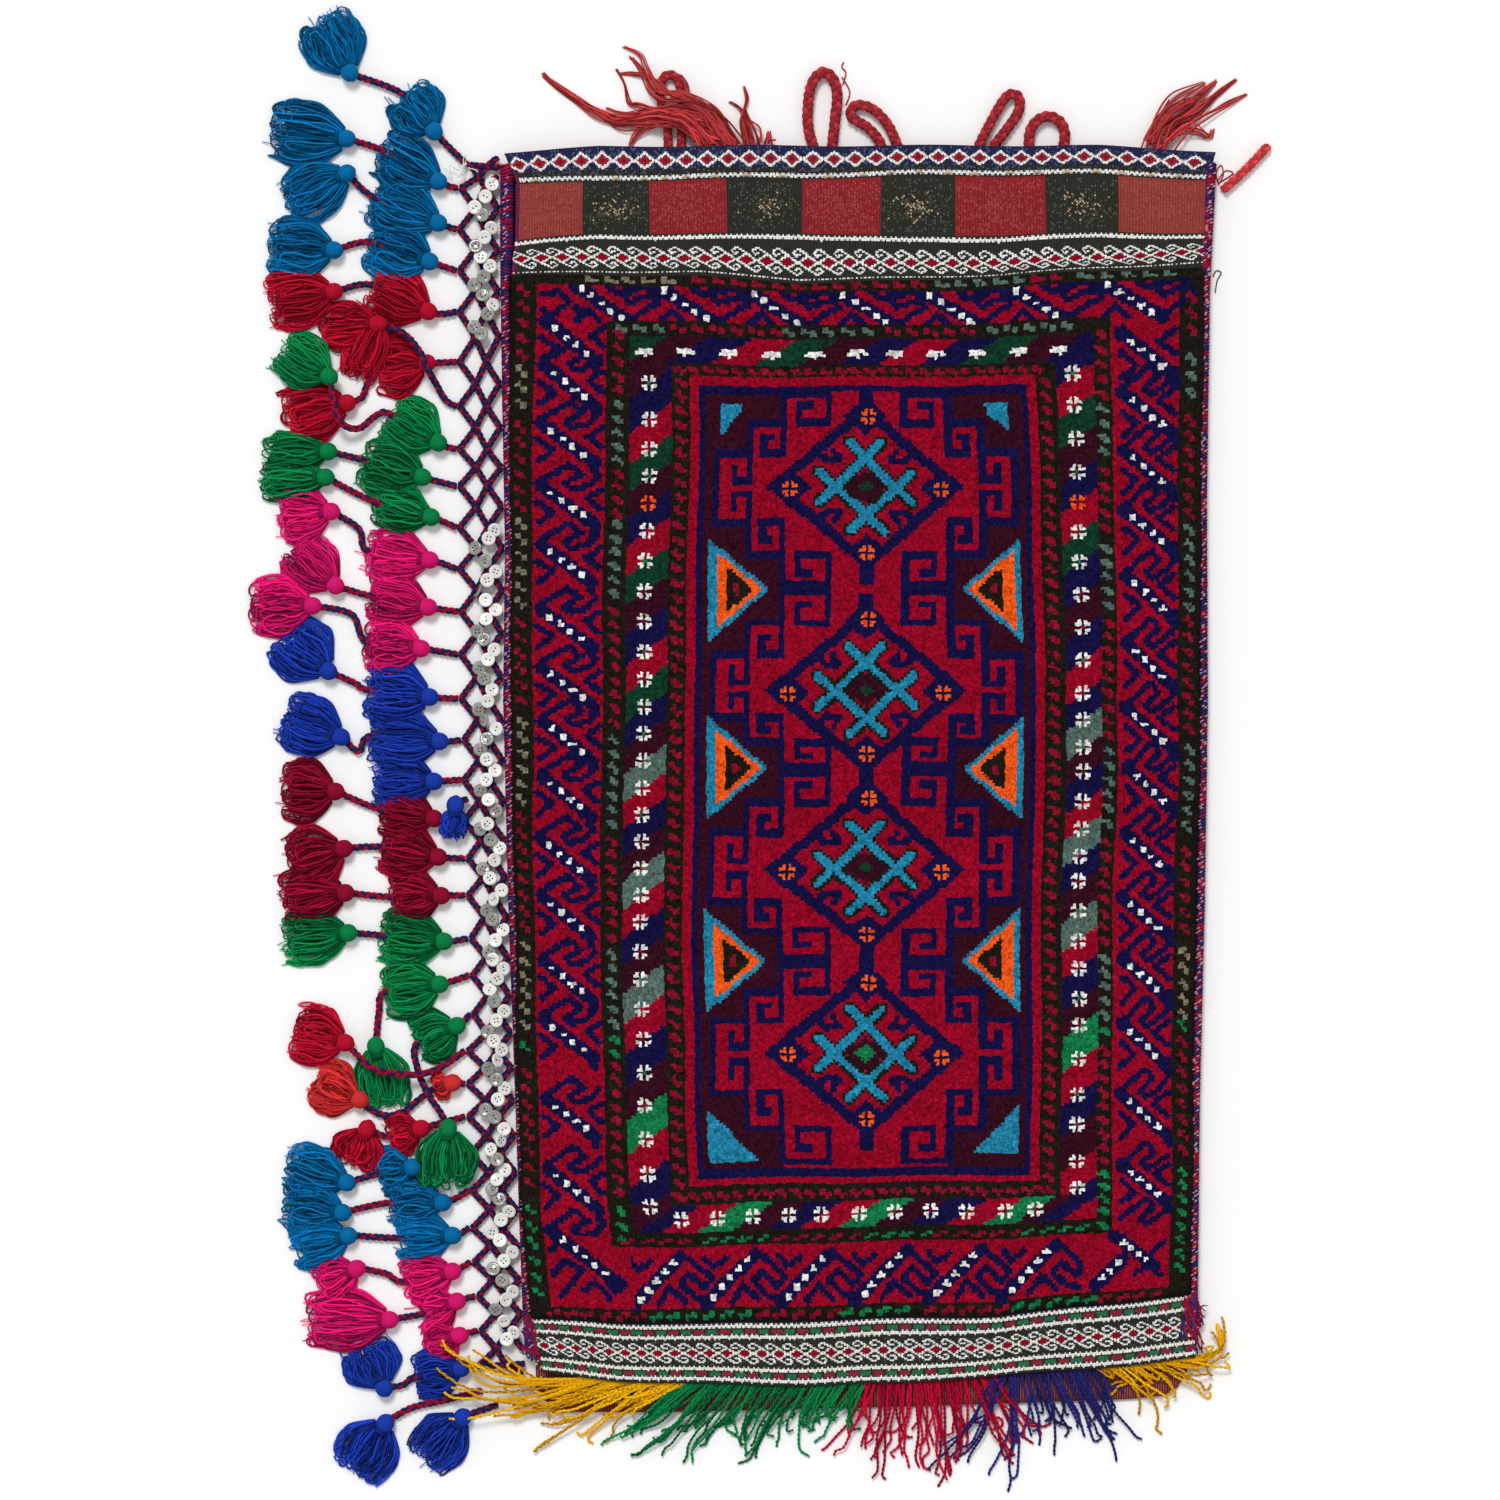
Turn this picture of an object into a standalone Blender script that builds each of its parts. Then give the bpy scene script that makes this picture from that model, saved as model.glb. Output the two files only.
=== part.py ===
"""Pillow bag with a knotted-pile face, a woven back, a button net and tasselled braids.

Units are metres and +Z is up. The bag lies flat on its back with its mouth
towards +Y. The origin is on the underside of the back panel, at its middle.
"""
import math

import bmesh
import bpy
from mathutils import Vector

MM = 0.001
GAP = 0.3 * MM

# Heights above the floor
BACK_THICKNESS = 3.0 * MM
HOLLOW_HEIGHT = 6.2 * MM
FLATWEAVE_THICKNESS = 3.0 * MM
PILE_RISE = 4.5 * MM
CROWN_RISE = 1.5 * MM
BINDING_HEIGHT = 12.6 * MM
FRONT_UNDERSIDE = BACK_THICKNESS + HOLLOW_HEIGHT

# Widths of the sewn edges
BINDING_WIDTH = 7.0 * MM
SEAM_WIDTH = 7.0 * MM
EDGE_INSET = 7.5
EDGE_SLOPE_WIDTH = 5.0
PILE_STEP_WIDTH = 4.0

# Outline of the bag in millimetres, (x, y), as the sewn edges run
LEFT_EDGE = ((-250, 436), (-250, 370), (-248.5, 266), (-246.5, 161), (-247.8, 56), (-244.3, -84),
             (-239.4, -224), (-234.5, -364), (-232.5, -400))
RIGHT_EDGE = ((252, 436), (247.1, 343), (245, 196), (245.7, 56), (243.6, -84), (240.1, -224),
              (238.7, -364), (240, -394))
TOP_EDGE = ((-250, 431), (-208, 441), (-110, 442.4), (30, 443), (120, 443), (205, 441.7),
            (244, 439.6), (253, 434))
LOWER_EDGE = ((-240, -402), (-222, -414.4), (-160, -422), (-117, -425.6), (9, -418.6), (100, -413),
              (191, -402.5), (226, -397.6), (245, -394))
BACK_LOWER_EDGE = ((-240, -427), (-229, -443), (-145, -443), (40, -439), (200, -434), (233, -431),
                   (243, -412))

# Woven bands across the flat plan of the front, in millimetres
PLAN_LEFT = -242.5
PLAN_RIGHT = 244.3
PLAN_TOP = 443.0
HEM_LINE = 420.7
KILIM_LINE = 379.4
PILE_TOP = 349.3
PILE_BOTTOM = -376.0
PLAN_BOTTOM = -412.0
KILIM_EDGES = (-192.5, -144.9, -91.0, -38.5, 16.8, 68.6, 131.6, 182.7)

# Frames of the pile, from outside in: colour, then the widths at left, right, top and bottom
PILE_FRAMES = (
    ("olive", 17.0, 17.5, 2.5, 10.5),
    ("crimson", 50.0, 47.6, 27.0, 41.5),
    ("olive", 17.5, 9.8, 10.0, 10.0),
    ("wine", 28.0, 25.0, 19.5, 20.0),
    ("olive", 13.0, 12.6, 9.8, 12.0),
    ("crimson", 6.0, 6.3, 5.7, 5.5),
    ("navy", 5.0, 5.0, 5.0, 5.0),
)

# Motifs of the field, in millimetres
FIELD_CENTRE = 6.3
COLUMN_HALF_WIDTH = 68.3
DIAMOND_ROWS = (205.0, 63.0, -61.6, -190.4)
DIAMOND_SIZES = ((66.0, 56.0, "navy"), (57.0, 48.0, "crimson"), (25.0, 22.0, "turquoise"))
TRIANGLE_ROWS = (133.0, 8.0, -126.0)
TRIANGLE_SIZES = ((39.0, 36.0, "turquoise"), (31.0, 27.0, "orange"), (17.0, 15.0, "olive"))

COLOURS = {
    "olive": (0.012, 0.012, 0.008),
    "crimson": (0.36, 0.006, 0.03),
    "navy": (0.010, 0.008, 0.10),
    "wine": (0.065, 0.006, 0.018),
    "turquoise": (0.02, 0.22, 0.42),
    "orange": (0.90, 0.13, 0.03),
    "brick": (0.34, 0.05, 0.055),
    "charcoal": (0.035, 0.032, 0.026),
    "hem_navy": (0.03, 0.035, 0.12),
    "ivory": (0.80, 0.78, 0.70),
    "red_brown": (0.20, 0.04, 0.045),
    "braid": (0.14, 0.02, 0.07),
    "loop_red": (0.36, 0.045, 0.05),
    "coral": (0.62, 0.06, 0.05),
    "teal": (0.012, 0.13, 0.33),
    "red": (0.48, 0.008, 0.035),
    "green": (0.012, 0.20, 0.075),
    "pink": (0.55, 0.012, 0.14),
    "royal": (0.018, 0.045, 0.33),
    "wine_yarn": (0.28, 0.010, 0.045),
    "yellow": (0.80, 0.42, 0.012),
}

# Tassels
BRAID_RADIUS = 2.4
HEAD_RADIUS = 5.6
TIE_RADIUS = 4.2
SKIRT_HALF_HEIGHT = 5.6
FLOOR_CLEARANCE = 0.1 * MM

# Each braid with its tassels. Places are (x, y, lift) in millimetres, the lift being the height of
# the yarn's underside. A tassel is its head, the end of its skirt and its half width.
STRANDS = (
    dict(colour="teal", root=(-273, 431, 0), inner=((-296, 454, 0), (-317, 480, 0), 16),
         outer=((-355, 495, 0), (-375, 533, 0), 17)),
    dict(colour="teal", root=(-280, 415, 0), inner=((-293, 419, 0), (-332, 441, 0), 16),
         outer=((-357, 449, 0), (-408, 456, 0), 18)),
    dict(colour="teal", root=(-281, 386, 0), inner=((-293, 390, 0), (-338, 408, 0), 16),
         outer=((-357, 425, 0), (-398, 404, 0), 16)),
    dict(colour="teal", root=(-281, 357, 0), inner=((-299, 363, 0), (-340, 377, 0), 18),
         outer=((-366, 371, 0), (-410, 374, 0), 17)),
    dict(colour="red", root=(-281, 328, 0), inner=((-300, 328, 0), (-339, 347, 0), 16),
         outer=((-366, 342, 0), (-411, 335, 0), 17)),
    dict(colour="red", root=(-281, 293, 0), inner=((-301, 292, 0), (-336, 290, 0), 18),
         via=((-343, 278, 0), (-347, 268, 0)), outer=((-357, 264, 0), (-400, 254, 0), 17)),
    dict(colour="red", root=(-281, 262, 0),
         via=((-288, 266, 0), (-294, 276, 3), (-300, 287, 11.8), (-306, 300, 11.8), (-318, 313, 8)),
         outer=((-335, 319, 4), (-374, 317, 0), 13)),
    dict(colour="green", root=(-281, 232, 0), inner=((-293, 236, 0), (-326, 256, 0), 16),
         via=((-336, 256, 0), (-349, 246, 5), (-361, 250, 11.8), (-366, 266, 11.8)),
         outer=((-369, 282, 6), (-402, 302, 0), 15)),
    dict(colour="green", root=(-281, 206, 0), inner=((-304, 212, 0), (-345, 224, 0), 17),
         outer=((-370, 230, 0), (-414, 229, 0), 12)),
    dict(colour="green", root=(-281, 177, 0), inner=((-298, 184, 0), (-336, 194, 0), 13),
         outer=((-372, 212, 0), (-415, 209, 0), 12)),
    dict(colour="pink", root=(-281, 148, 0), inner=((-299, 154, 0), (-342, 160, 0), 15),
         via=((-349, 176, 0),), outer=((-368, 188, 0), (-404, 186, 0), 17)),
    dict(colour="pink", root=(-280, 118, 0), inner=((-300, 121, 0), (-341, 129, 0), 15),
         outer=((-365, 136, 0), (-395, 162, 0), 15)),
    dict(colour="pink", root=(-280, 88, 0), inner=((-305, 92, 0), (-343, 96, 0), 16),
         via=((-354, 116, 0),), outer=((-381, 122, 0), (-423, 122, 0), 17)),
    dict(colour="royal", root=(-280, 57, 0), inner=((-299, 58, 0), (-342, 63, 0), 18),
         via=((-352, 68, 0),), outer=((-370, 76, 0), (-401, 101, 0), 18)),
    dict(colour="royal", root=(-278, 28, 0), inner=((-292, 27, 0), (-340, 31, 0), 16),
         via=((-349, 20, 0),), outer=((-361, 30, 0), (-400, 44, 0), 17)),
    dict(colour="royal", root=(-278, 0, 0), inner=((-296, -1, 0), (-338, 1, 0), 16)),
    dict(colour="royal", root=(-273, -13, 3), outer=((-281, -17, 4), (-283, -40, 6.5), 7)),
    dict(colour="wine_yarn", root=(-278, -29, 0), inner=((-296, -27, 0), (-333, -21, 0), 14),
         outer=((-365, -8, 0), (-402, -7, 0), 18)),
    dict(colour="wine_yarn", root=(-275, -55, 0), inner=((-293, -54, 0), (-332, -47, 0), 15),
         outer=((-359, -48, 0), (-396, -60, 0), 18)),
    dict(colour="wine_yarn", root=(-275, -81, 0), inner=((-291, -81, 0), (-326, -82, 0), 15),
         outer=((-358, -79, 0), (-402, -84, 0), 16)),
    dict(colour="green", root=(-273, -111, 0), inner=((-289, -113, 0), (-332, -109, 0), 16),
         outer=((-356, -107, 0), (-400, -112, 0), 15)),
    dict(colour="green", root=(-272, -137, 0), inner=((-292, -143, 0), (-330, -148, 0), 17),
         via=((-335, -163, 0),), outer=((-337, -186, 0), (-331, -228, 0), 16)),
    dict(colour="green", root=(-271, -164, 0), inner=((-280, -172, 0), (-308, -184, 0), 16),
         via=((-308, -202, 1), (-300, -220, 5.6), (-292, -232, 5.6)),
         outer=((-286, -243, 5.6), (-289, -284, 5.6), 17)),
    dict(colour="red", root=(-275, -190, 0),
         via=((-293, -202, 3), (-308, -206, 9), (-322, -205, 11.8), (-338, -202, 11.8),
              (-350, -192, 8)),
         outer=((-358, -184, 1), (-394, -176, 0), 17)),
    dict(colour="coral", root=(-275, -213, 0), inner=((-283, -212, 0), (-296, -216, 0), 8),
         via=((-307, -224, 0), (-320, -234, 0), (-335, -234, 0)),
         outer=((-348, -224, 0), (-380, -211, 0), 15)),
    dict(colour="red", root=(-275, -236, 0), inner=((-305, -244, 0), (-328, -250, 0), 12),
         outer=((-343, -244, 0), (-353, -270, 0), 15)),
    dict(colour="teal", root=(-273, -262, 0), inner=((-311, -271, 0), (-335, -276, 0), 14),
         outer=((-357, -282, 0), (-398, -269, 0), 14)),
    dict(colour="teal", root=(-272, -288, 0), inner=((-290, -296, 0), (-326, -296, 0), 14),
         outer=((-360, -303, 0), (-400, -296, 0), 15)),
    dict(colour="teal", root=(-272, -314, 0), inner=((-283, -319, 0), (-321, -321, 0), 14),
         outer=((-356, -319, 0), (-394, -328, 0), 15)),
    dict(colour="pink", root=(-271, -338, 0), inner=((-283, -344, 0), (-317, -352, 0), 14),
         via=((-330, -346, 0),), outer=((-350, -342, 0), (-377, -355, 0), 14)),
    dict(colour="pink", root=(-268, -362, 0), inner=((-280, -365, 0), (-304, -374, 0), 12),
         outer=((-327, -378, 0), (-383, -378, 0), 17)),
    dict(colour="pink", root=(-266, -386, 0), outer=((-278, -389, 0), (-302, -397, 0), 14)),
    dict(colour="royal", root=(-268, -411, 0), inner=((-277, -412, 0), (-309, -418, 0), 14),
         via=((-318, -424, 0),), outer=((-331, -426, 0), (-345, -398, 0), 16)),
    dict(colour="royal", root=(-263, -428, 0), via=((-290, -435, 0), (-312, -440, 0)),
         outer=((-330, -450, 0), (-352, -484, 0), 17)),
    dict(colour="royal", root=(-252, -438, 0), outer=((-276, -446, 0), (-302, -476, 0), 15)),
)

# Net, in millimetres
NET_STRAND_WIDTH = 4.4
NET_COLUMNS = (0.0, 0.34, 0.67, 1.0)
NET_ROOT_CLEARANCE = 5.4
NET_ATTACH_CLEARANCE = 3.2

# Buttons sewn on the net, in millimetres
BUTTON_RADIUS = 5.0
BUTTON_THICKNESS = 2.0
BUTTON_SPACING = 7.0
BUTTON_ZONES = ((416.0, 16), (175.0, 82))
BUTTON_ACROSS = (0.76, 0.58, 0.34, 0.52)

# Closure cords along the mouth, in millimetres: radius, then route (x, y)
LOOPS = {
    "closure_loop_1": (3.5, ((-132.3, 444.6), (-133, 458.5), (-137.4, 476), (-137.9, 486),
                             (-134.6, 493), (-129.6, 494), (-125.2, 490), (-123, 480),
                             (-122.5, 465.5), (-123.2, 444.6))),
    "closure_loop_2": (4.1, ((-30.8, 444.6), (-34.3, 458.5), (-34, 476), (-31, 489), (-23.8, 496),
                             (-16.6, 491), (-13.8, 480), (-15, 465.5), (-17.2, 444.6))),
    "closure_loop_3": (3.9, ((28.5, 444.8), (21.5, 459.5), (12, 469.4), (2.5, 473), (-3.6, 470.6),
                             (-4, 464.8), (0.5, 461.4), (7, 457.6), (13.5, 451), (17, 444.8))),
    "closure_loop_4": (3.9, ((85.6, 444.8), (92.5, 458.5), (99.5, 471.3), (105, 479),
                             (110, 480.6), (114, 477), (113, 468), (105.5, 456.6), (96.3, 444.8))),
    "closure_loop_5": (4.1, ((120.4, 444.8), (121.5, 455), (126.3, 462), (134, 465), (141.8, 461.6),
                             (145.6, 454), (145, 444.8))),
}
CORD_END = (3.4, ((256.8, 413.5), (268, 423.5), (279, 434.5), (288, 444.5)))

# Unravelled cord ends along the mouth, as stations (x, y, lift, half width) in millimetres
FRAYED_ENDS = {
    "frayed_end_left": ((-84, 444.4, 0, 8), (-84, 449, 0, 8.5), (-95, 459, 3, 9.5), (-112, 465, 7.6, 11),
                        (-128, 468, 8.2, 12), (-146, 469.5, 6.5, 11), (-168, 474, 1, 6.5),
                        (-192, 483, 0, 4), (-216, 494, 0, 1.6)),
    "frayed_tuft": ((-66, 444.2, 0, 7), (-66, 448, 0, 7), (-72, 457, 0, 5.5), (-78, 468, 0, 3.5), (-80, 481, 0, 1.4)),
    "frayed_end_right": ((214, 442.6, 0, 9), (214, 447, 0, 9), (221, 455, 0, 9.5), (231, 465, 0, 11.5),
                         (243, 478, 0, 11), (254, 490, 0, 6)),
}
FRAYED_HEIGHT = 4.5

# Fringe on the lower seam, in millimetres: colour, the ends of its root line, the ends of its tip
# line, and how high each end's tips lie: on the floor, on the back panel or on the net
ON_FLOOR = 0.3
ON_PANEL = 3.4
ON_NET = 8.6
FRINGES = {
    "fringe_yellow_left": ("yellow", (-222, -128), ((-266, -411), (-215, -441)), (ON_NET, ON_PANEL)),
    "fringe_green": ("green", (-120, 5), ((-186, -466), (2, -474)), (ON_FLOOR, ON_FLOOR)),
    "fringe_crimson": ("crimson", (7, 94), ((8, -491), (112, -492)), (ON_FLOOR, ON_FLOOR)),
    "fringe_navy": ("navy", (97, 167), ((118, -478), (186, -446)), (ON_FLOOR, ON_FLOOR)),
    "fringe_yellow_right": ("yellow", (171, 231), ((194, -429), (258, -399)), (ON_PANEL, ON_PANEL)),
}
FRINGE_THICKNESS = 3.0
FRINGE_COLUMNS = 10
FRINGE_DROP_LENGTH = 7.0

ROOT = None


def clear_scene():
    """Empty the scene before modelling."""
    for existing in list(bpy.data.objects):
        bpy.data.objects.remove(existing, do_unlink=True)


def wool(name, roughness=0.9):
    """Return the material of one yarn colour, made once."""
    found = bpy.data.materials.get(name)
    if found:
        return found
    made = bpy.data.materials.new(name)
    made.use_nodes = True
    shader = made.node_tree.nodes["Principled BSDF"]
    shader.inputs["Base Color"].default_value = (*COLOURS[name], 1.0)
    shader.inputs["Roughness"].default_value = roughness
    shader.inputs["Metallic"].default_value = 0.0
    return made


def across(points, value, key, read):
    """Read one coordinate of an edge at a value of the other, straight between its points."""
    ordered = sorted(points, key=lambda point: point[key])
    if value <= ordered[0][key]:
        return ordered[0][read]
    for low, high in zip(ordered, ordered[1:]):
        if value <= high[key]:
            share = (value - low[key]) / (high[key] - low[key])
            return low[read] + share * (high[read] - low[read])
    return ordered[-1][read]


def left_at(y):
    """Outer x of the left edge at height y on the bag."""
    return across(LEFT_EDGE, y, 1, 0)


def right_at(y):
    """Outer x of the right edge at height y on the bag."""
    return across(RIGHT_EDGE, y, 1, 0)


def smooth_route(points, spacing):
    """Read points at an even spacing from a smooth curve through the given ones."""
    ends = [points[0], *points, points[-1]]
    fine = []
    for before, start, end, after in zip(ends, ends[1:], ends[2:], ends[3:]):
        for step in range(12):
            t = step / 12
            fine.append([0.5 * (2 * b + (c - a) * t + (2 * a - 5 * b + 4 * c - d) * t * t
                                + (3 * b - a - 3 * c + d) * t ** 3)
                         for a, b, c, d in zip(before, start, end, after)])
    fine.append(list(points[-1]))
    lengths = [0.0]
    for low, high in zip(fine, fine[1:]):
        lengths.append(lengths[-1] + math.dist(low, high))
    count = max(3, round(lengths[-1] / spacing))
    route = []
    place = 0
    for step in range(count + 1):
        wanted = lengths[-1] * step / count
        while place < len(fine) - 2 and lengths[place + 1] < wanted:
            place += 1
        span = lengths[place + 1] - lengths[place]
        share = (wanted - lengths[place]) / span if span else 0.0
        route.append([a + (b - a) * share for a, b in zip(fine[place], fine[place + 1])])
    return route


def add_object(name, data, materials, collection):
    """Link a mesh or curve as a named piece under the bag's empty."""
    piece = bpy.data.objects.new(name, data)
    collection.objects.link(piece)
    if data.materials:
        data.materials.clear()
    for colour in materials:
        data.materials.append(wool(colour))
    piece.parent = ROOT
    return piece


def outline_curve(name, points, low, high):
    """Make a flat closed outline with a thickness, as a curve standing between two heights."""
    flat = bpy.data.curves.new(name, "CURVE")
    flat.dimensions = "2D"
    flat.fill_mode = "BOTH"
    flat.extrude = (high - low) / 2
    spline = flat.splines.new("POLY")
    spline.points.add(len(points) - 1)
    for point, (x, y) in zip(spline.points, points):
        point.co = (x * MM, y * MM, 0.0, 1.0)
    spline.use_cyclic_u = True
    return flat


def tube_curve(name, stations, sides_step):
    """Make a closed tube through stations (x, y, z, radius) given in millimetres."""
    tube = bpy.data.curves.new(name, "CURVE")
    tube.dimensions = "3D"
    tube.twist_mode = "Z_UP"
    tube.bevel_depth = MM
    tube.bevel_resolution = sides_step
    tube.use_fill_caps = True
    spline = tube.splines.new("POLY")
    spline.points.add(len(stations) - 1)
    for point, (x, y, z, radius) in zip(spline.points, stations):
        point.co = (x * MM, y * MM, z * MM, 1.0)
        point.radius = radius
    return tube


def mesh_of_curve(curve, name):
    """Turn a curve into a mesh with its caps joined on."""
    holder = bpy.data.objects.new(name + "_curve", curve)
    bpy.context.scene.collection.objects.link(holder)
    bpy.context.view_layer.update()
    evaluated = holder.evaluated_get(bpy.context.evaluated_depsgraph_get())
    mesh = bpy.data.meshes.new_from_object(evaluated)
    bpy.data.objects.remove(holder, do_unlink=True)
    mesh.name = name
    return mesh


def weld(mesh):
    """Join doubled points of a mesh and turn its faces outwards."""
    work = bmesh.new()
    work.from_mesh(mesh)
    bmesh.ops.remove_doubles(work, verts=work.verts, dist=0.00002)
    bmesh.ops.recalc_face_normals(work, faces=work.faces)
    work.to_mesh(mesh)
    work.free()


def flattened_tube(name, stations, half_height, sides_step=1):
    """Make a tube that lies on what is under it, no higher than twice the half height.

    A station is (x, y, lift, radius) in millimetres; where the radius is more than the half
    height the tube spreads sideways only.
    """
    heights = [min(radius, half_height) for _, _, _, radius in stations]
    placed = [(x, y, lift + height, radius)
              for (x, y, lift, radius), height in zip(stations, heights)]
    mesh = mesh_of_curve(tube_curve(name, placed, sides_step), name)
    sides = 4 + 2 * sides_step
    for vertex in mesh.vertices:
        ring = vertex.index // sides - 2
        if ring < 0:
            ring = 0 if ring == -1 else len(stations) - 1
        _, _, middle, radius = placed[ring]
        rise = (vertex.co.z - middle * MM) * heights[ring] / radius
        vertex.co.z = max(FLOOR_CLEARANCE, middle * MM + rise)
    weld(mesh)
    return mesh


def plan_to_bag(x, y):
    """Carry a point of the flat weaving plan to its place on the bag, in millimetres."""
    share = (x - PLAN_LEFT) / (PLAN_RIGHT - PLAN_LEFT)
    down = (PLAN_TOP - y) / (PLAN_TOP - PLAN_BOTTOM)
    top_shift = across(TOP_EDGE, x, 0, 1) - PLAN_TOP
    low_shift = across(LOWER_EDGE, x, 0, 1) - PLAN_BOTTOM
    placed_y = y + (1 - down) * top_shift + down * low_shift
    left = left_at(placed_y) + EDGE_INSET
    right = right_at(placed_y) - EDGE_INSET
    return left + share * (right - left), placed_y


def frame_limits():
    """Return each pile frame's outer rectangle and colour, from outside in."""
    left, right, top, bottom = PLAN_LEFT, PLAN_RIGHT, PILE_TOP, PILE_BOTTOM
    limits = []
    for colour, from_left, from_right, from_top, from_bottom in PILE_FRAMES:
        limits.append((left, right, bottom, top, colour))
        left += from_left
        right -= from_right
        top -= from_top
        bottom += from_bottom
    limits.append((left, right, bottom, top, "wine"))
    return limits


def triangle_of(size):
    """Return how far from the field's centre line a side triangle's apex and base lie."""
    apex = COLUMN_HALF_WIDTH + 1.0 + (TRIANGLE_SIZES[0][0] - size) * 0.6
    return apex, apex + size


def field_colour(x, y):
    """Colour of a point in the wine field, with its column, diamonds and triangles."""
    off_centre = abs(x - FIELD_CENTRE)
    if off_centre < COLUMN_HALF_WIDTH:
        found = "crimson"
        row = min(DIAMOND_ROWS, key=lambda middle: abs(y - middle))
        for half_width, half_height, colour in DIAMOND_SIZES:
            if off_centre / half_width + abs(y - row) / half_height < 1:
                found = colour
        return found
    found = "wine"
    row = min(TRIANGLE_ROWS, key=lambda middle: abs(y - middle))
    for size, half_height, colour in TRIANGLE_SIZES:
        apex, base = triangle_of(size)
        if off_centre < base and abs(y - row) < half_height * (off_centre - apex) / size:
            found = colour
    return found


def motif_cuts():
    """List the lines that bound the field's motifs, each with the plan region it may cut."""
    cuts = []
    for row in DIAMOND_ROWS:
        for side in (1, -1):
            for up in (1, -1):
                far = FIELD_CENTRE + side * COLUMN_HALF_WIDTH
                region = (min(FIELD_CENTRE, far), max(FIELD_CENTRE, far),
                          min(row, row + up * 57), max(row, row + up * 57))
                for half_width, half_height, _ in DIAMOND_SIZES:
                    cuts.append(((FIELD_CENTRE + side * half_width, row),
                                 (FIELD_CENTRE, row + up * half_height), region))
    for row in TRIANGLE_ROWS:
        for side in (1, -1):
            for up in (1, -1):
                near = FIELD_CENTRE + side * COLUMN_HALF_WIDTH
                far = near + side * 42
                region = (min(near, far), max(near, far),
                          min(row, row + up * 37), max(row, row + up * 37))
                for size, half_height, _ in TRIANGLE_SIZES:
                    apex, base = triangle_of(size)
                    tip = (FIELD_CENTRE + side * apex, row)
                    corner = (FIELD_CENTRE + side * base, row + up * half_height)
                    cuts.append((tip, corner, region))
                base = FIELD_CENTRE + side * triangle_of(TRIANGLE_SIZES[0][0])[1]
                cuts.append(((base, row), (base, row + up), region))
    return cuts


def plan_colour(x, y):
    """Colour of a point on the flat weaving plan."""
    if y > HEM_LINE:
        return "hem_navy"
    if y > KILIM_LINE:
        squares_passed = sum(1 for edge in KILIM_EDGES if edge < x)
        return "charcoal" if squares_passed % 2 else "brick"
    if y > PILE_TOP or y < PILE_BOTTOM:
        return "charcoal"
    found = "olive"
    for left, right, bottom, top, colour in frame_limits():
        if left < x < right and bottom < y < top:
            found = colour
            inside = (left, right, bottom, top)
    if found == "wine" and inside == frame_limits()[-1][:4]:
        return field_colour(x, y)
    return found


def split_line(work, start, end, region):
    """Cut the faces whose centres lie in a region of the plan along a straight line."""
    low_x, high_x, low_y, high_y = region
    inside = []
    for face in work.faces:
        middle = face.calc_center_median()
        if low_x < middle.x < high_x and low_y < middle.y < high_y:
            inside.append(face)
    edges = {edge for face in inside for edge in face.edges}
    points = {vertex for face in inside for vertex in face.verts}
    along = Vector((end[0] - start[0], end[1] - start[1], 0.0)).normalized()
    bmesh.ops.bisect_plane(work, geom=[*points, *edges, *inside], dist=0.05,
                           plane_co=Vector((start[0], start[1], 0.0)),
                           plane_no=Vector((-along.y, along.x, 0.0)))


def plan_mesh():
    """Lay out the front's plan as faces bounded by its bands and motifs, in millimetres."""
    limits = frame_limits()
    field_left, field_right, field_bottom, field_top, _ = limits[-1]
    columns = sorted({PLAN_LEFT, PLAN_LEFT + EDGE_SLOPE_WIDTH, PLAN_RIGHT - EDGE_SLOPE_WIDTH,
                      PLAN_RIGHT, FIELD_CENTRE, FIELD_CENTRE - COLUMN_HALF_WIDTH,
                      FIELD_CENTRE + COLUMN_HALF_WIDTH,
                      *(limit[0] for limit in limits[1:]), *(limit[1] for limit in limits[1:])})
    rows = sorted({PLAN_TOP, PLAN_BOTTOM, HEM_LINE, KILIM_LINE, PILE_TOP, PILE_BOTTOM,
                   *DIAMOND_ROWS, *TRIANGLE_ROWS, *(limit[2] for limit in limits[2:]),
                   *(limit[3] for limit in limits[2:])})
    work = bmesh.new()
    bmesh.ops.create_grid(work, x_segments=len(columns) - 1, y_segments=len(rows) - 1, size=1.0)
    for vertex in work.verts:
        column = round((vertex.co.x + 1) / 2 * (len(columns) - 1))
        row = round((vertex.co.y + 1) / 2 * (len(rows) - 1))
        vertex.co = Vector((columns[column], rows[row], 0.0))
    for edge in KILIM_EDGES:
        split_line(work, (edge, 0), (edge, 1), (PLAN_LEFT, PLAN_RIGHT, KILIM_LINE, HEM_LINE))
    for start, end, region in motif_cuts():
        split_line(work, start, end, region)
    return work


def front_height(x, y):
    """Height of the front's face above the floor at a plan point."""
    from_side = min(x - PLAN_LEFT, PLAN_RIGHT - x) / EDGE_SLOPE_WIDTH
    inside = min(1.0, max(0.0, from_side))
    pile = min(1.0, max(0.0, min(PILE_TOP - y, y - PILE_BOTTOM) / PILE_STEP_WIDTH))
    across_share = (x - PLAN_LEFT) / (PLAN_RIGHT - PLAN_LEFT)
    along_share = (y - PLAN_BOTTOM) / (PLAN_TOP - PLAN_BOTTOM)
    crown = CROWN_RISE * math.sin(math.pi * across_share) * math.sin(math.pi * along_share)
    height = FRONT_UNDERSIDE + FLATWEAVE_THICKNESS + crown
    return height + inside * pile * PILE_RISE - (1.0 - inside) * 0.8 * MM


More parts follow.
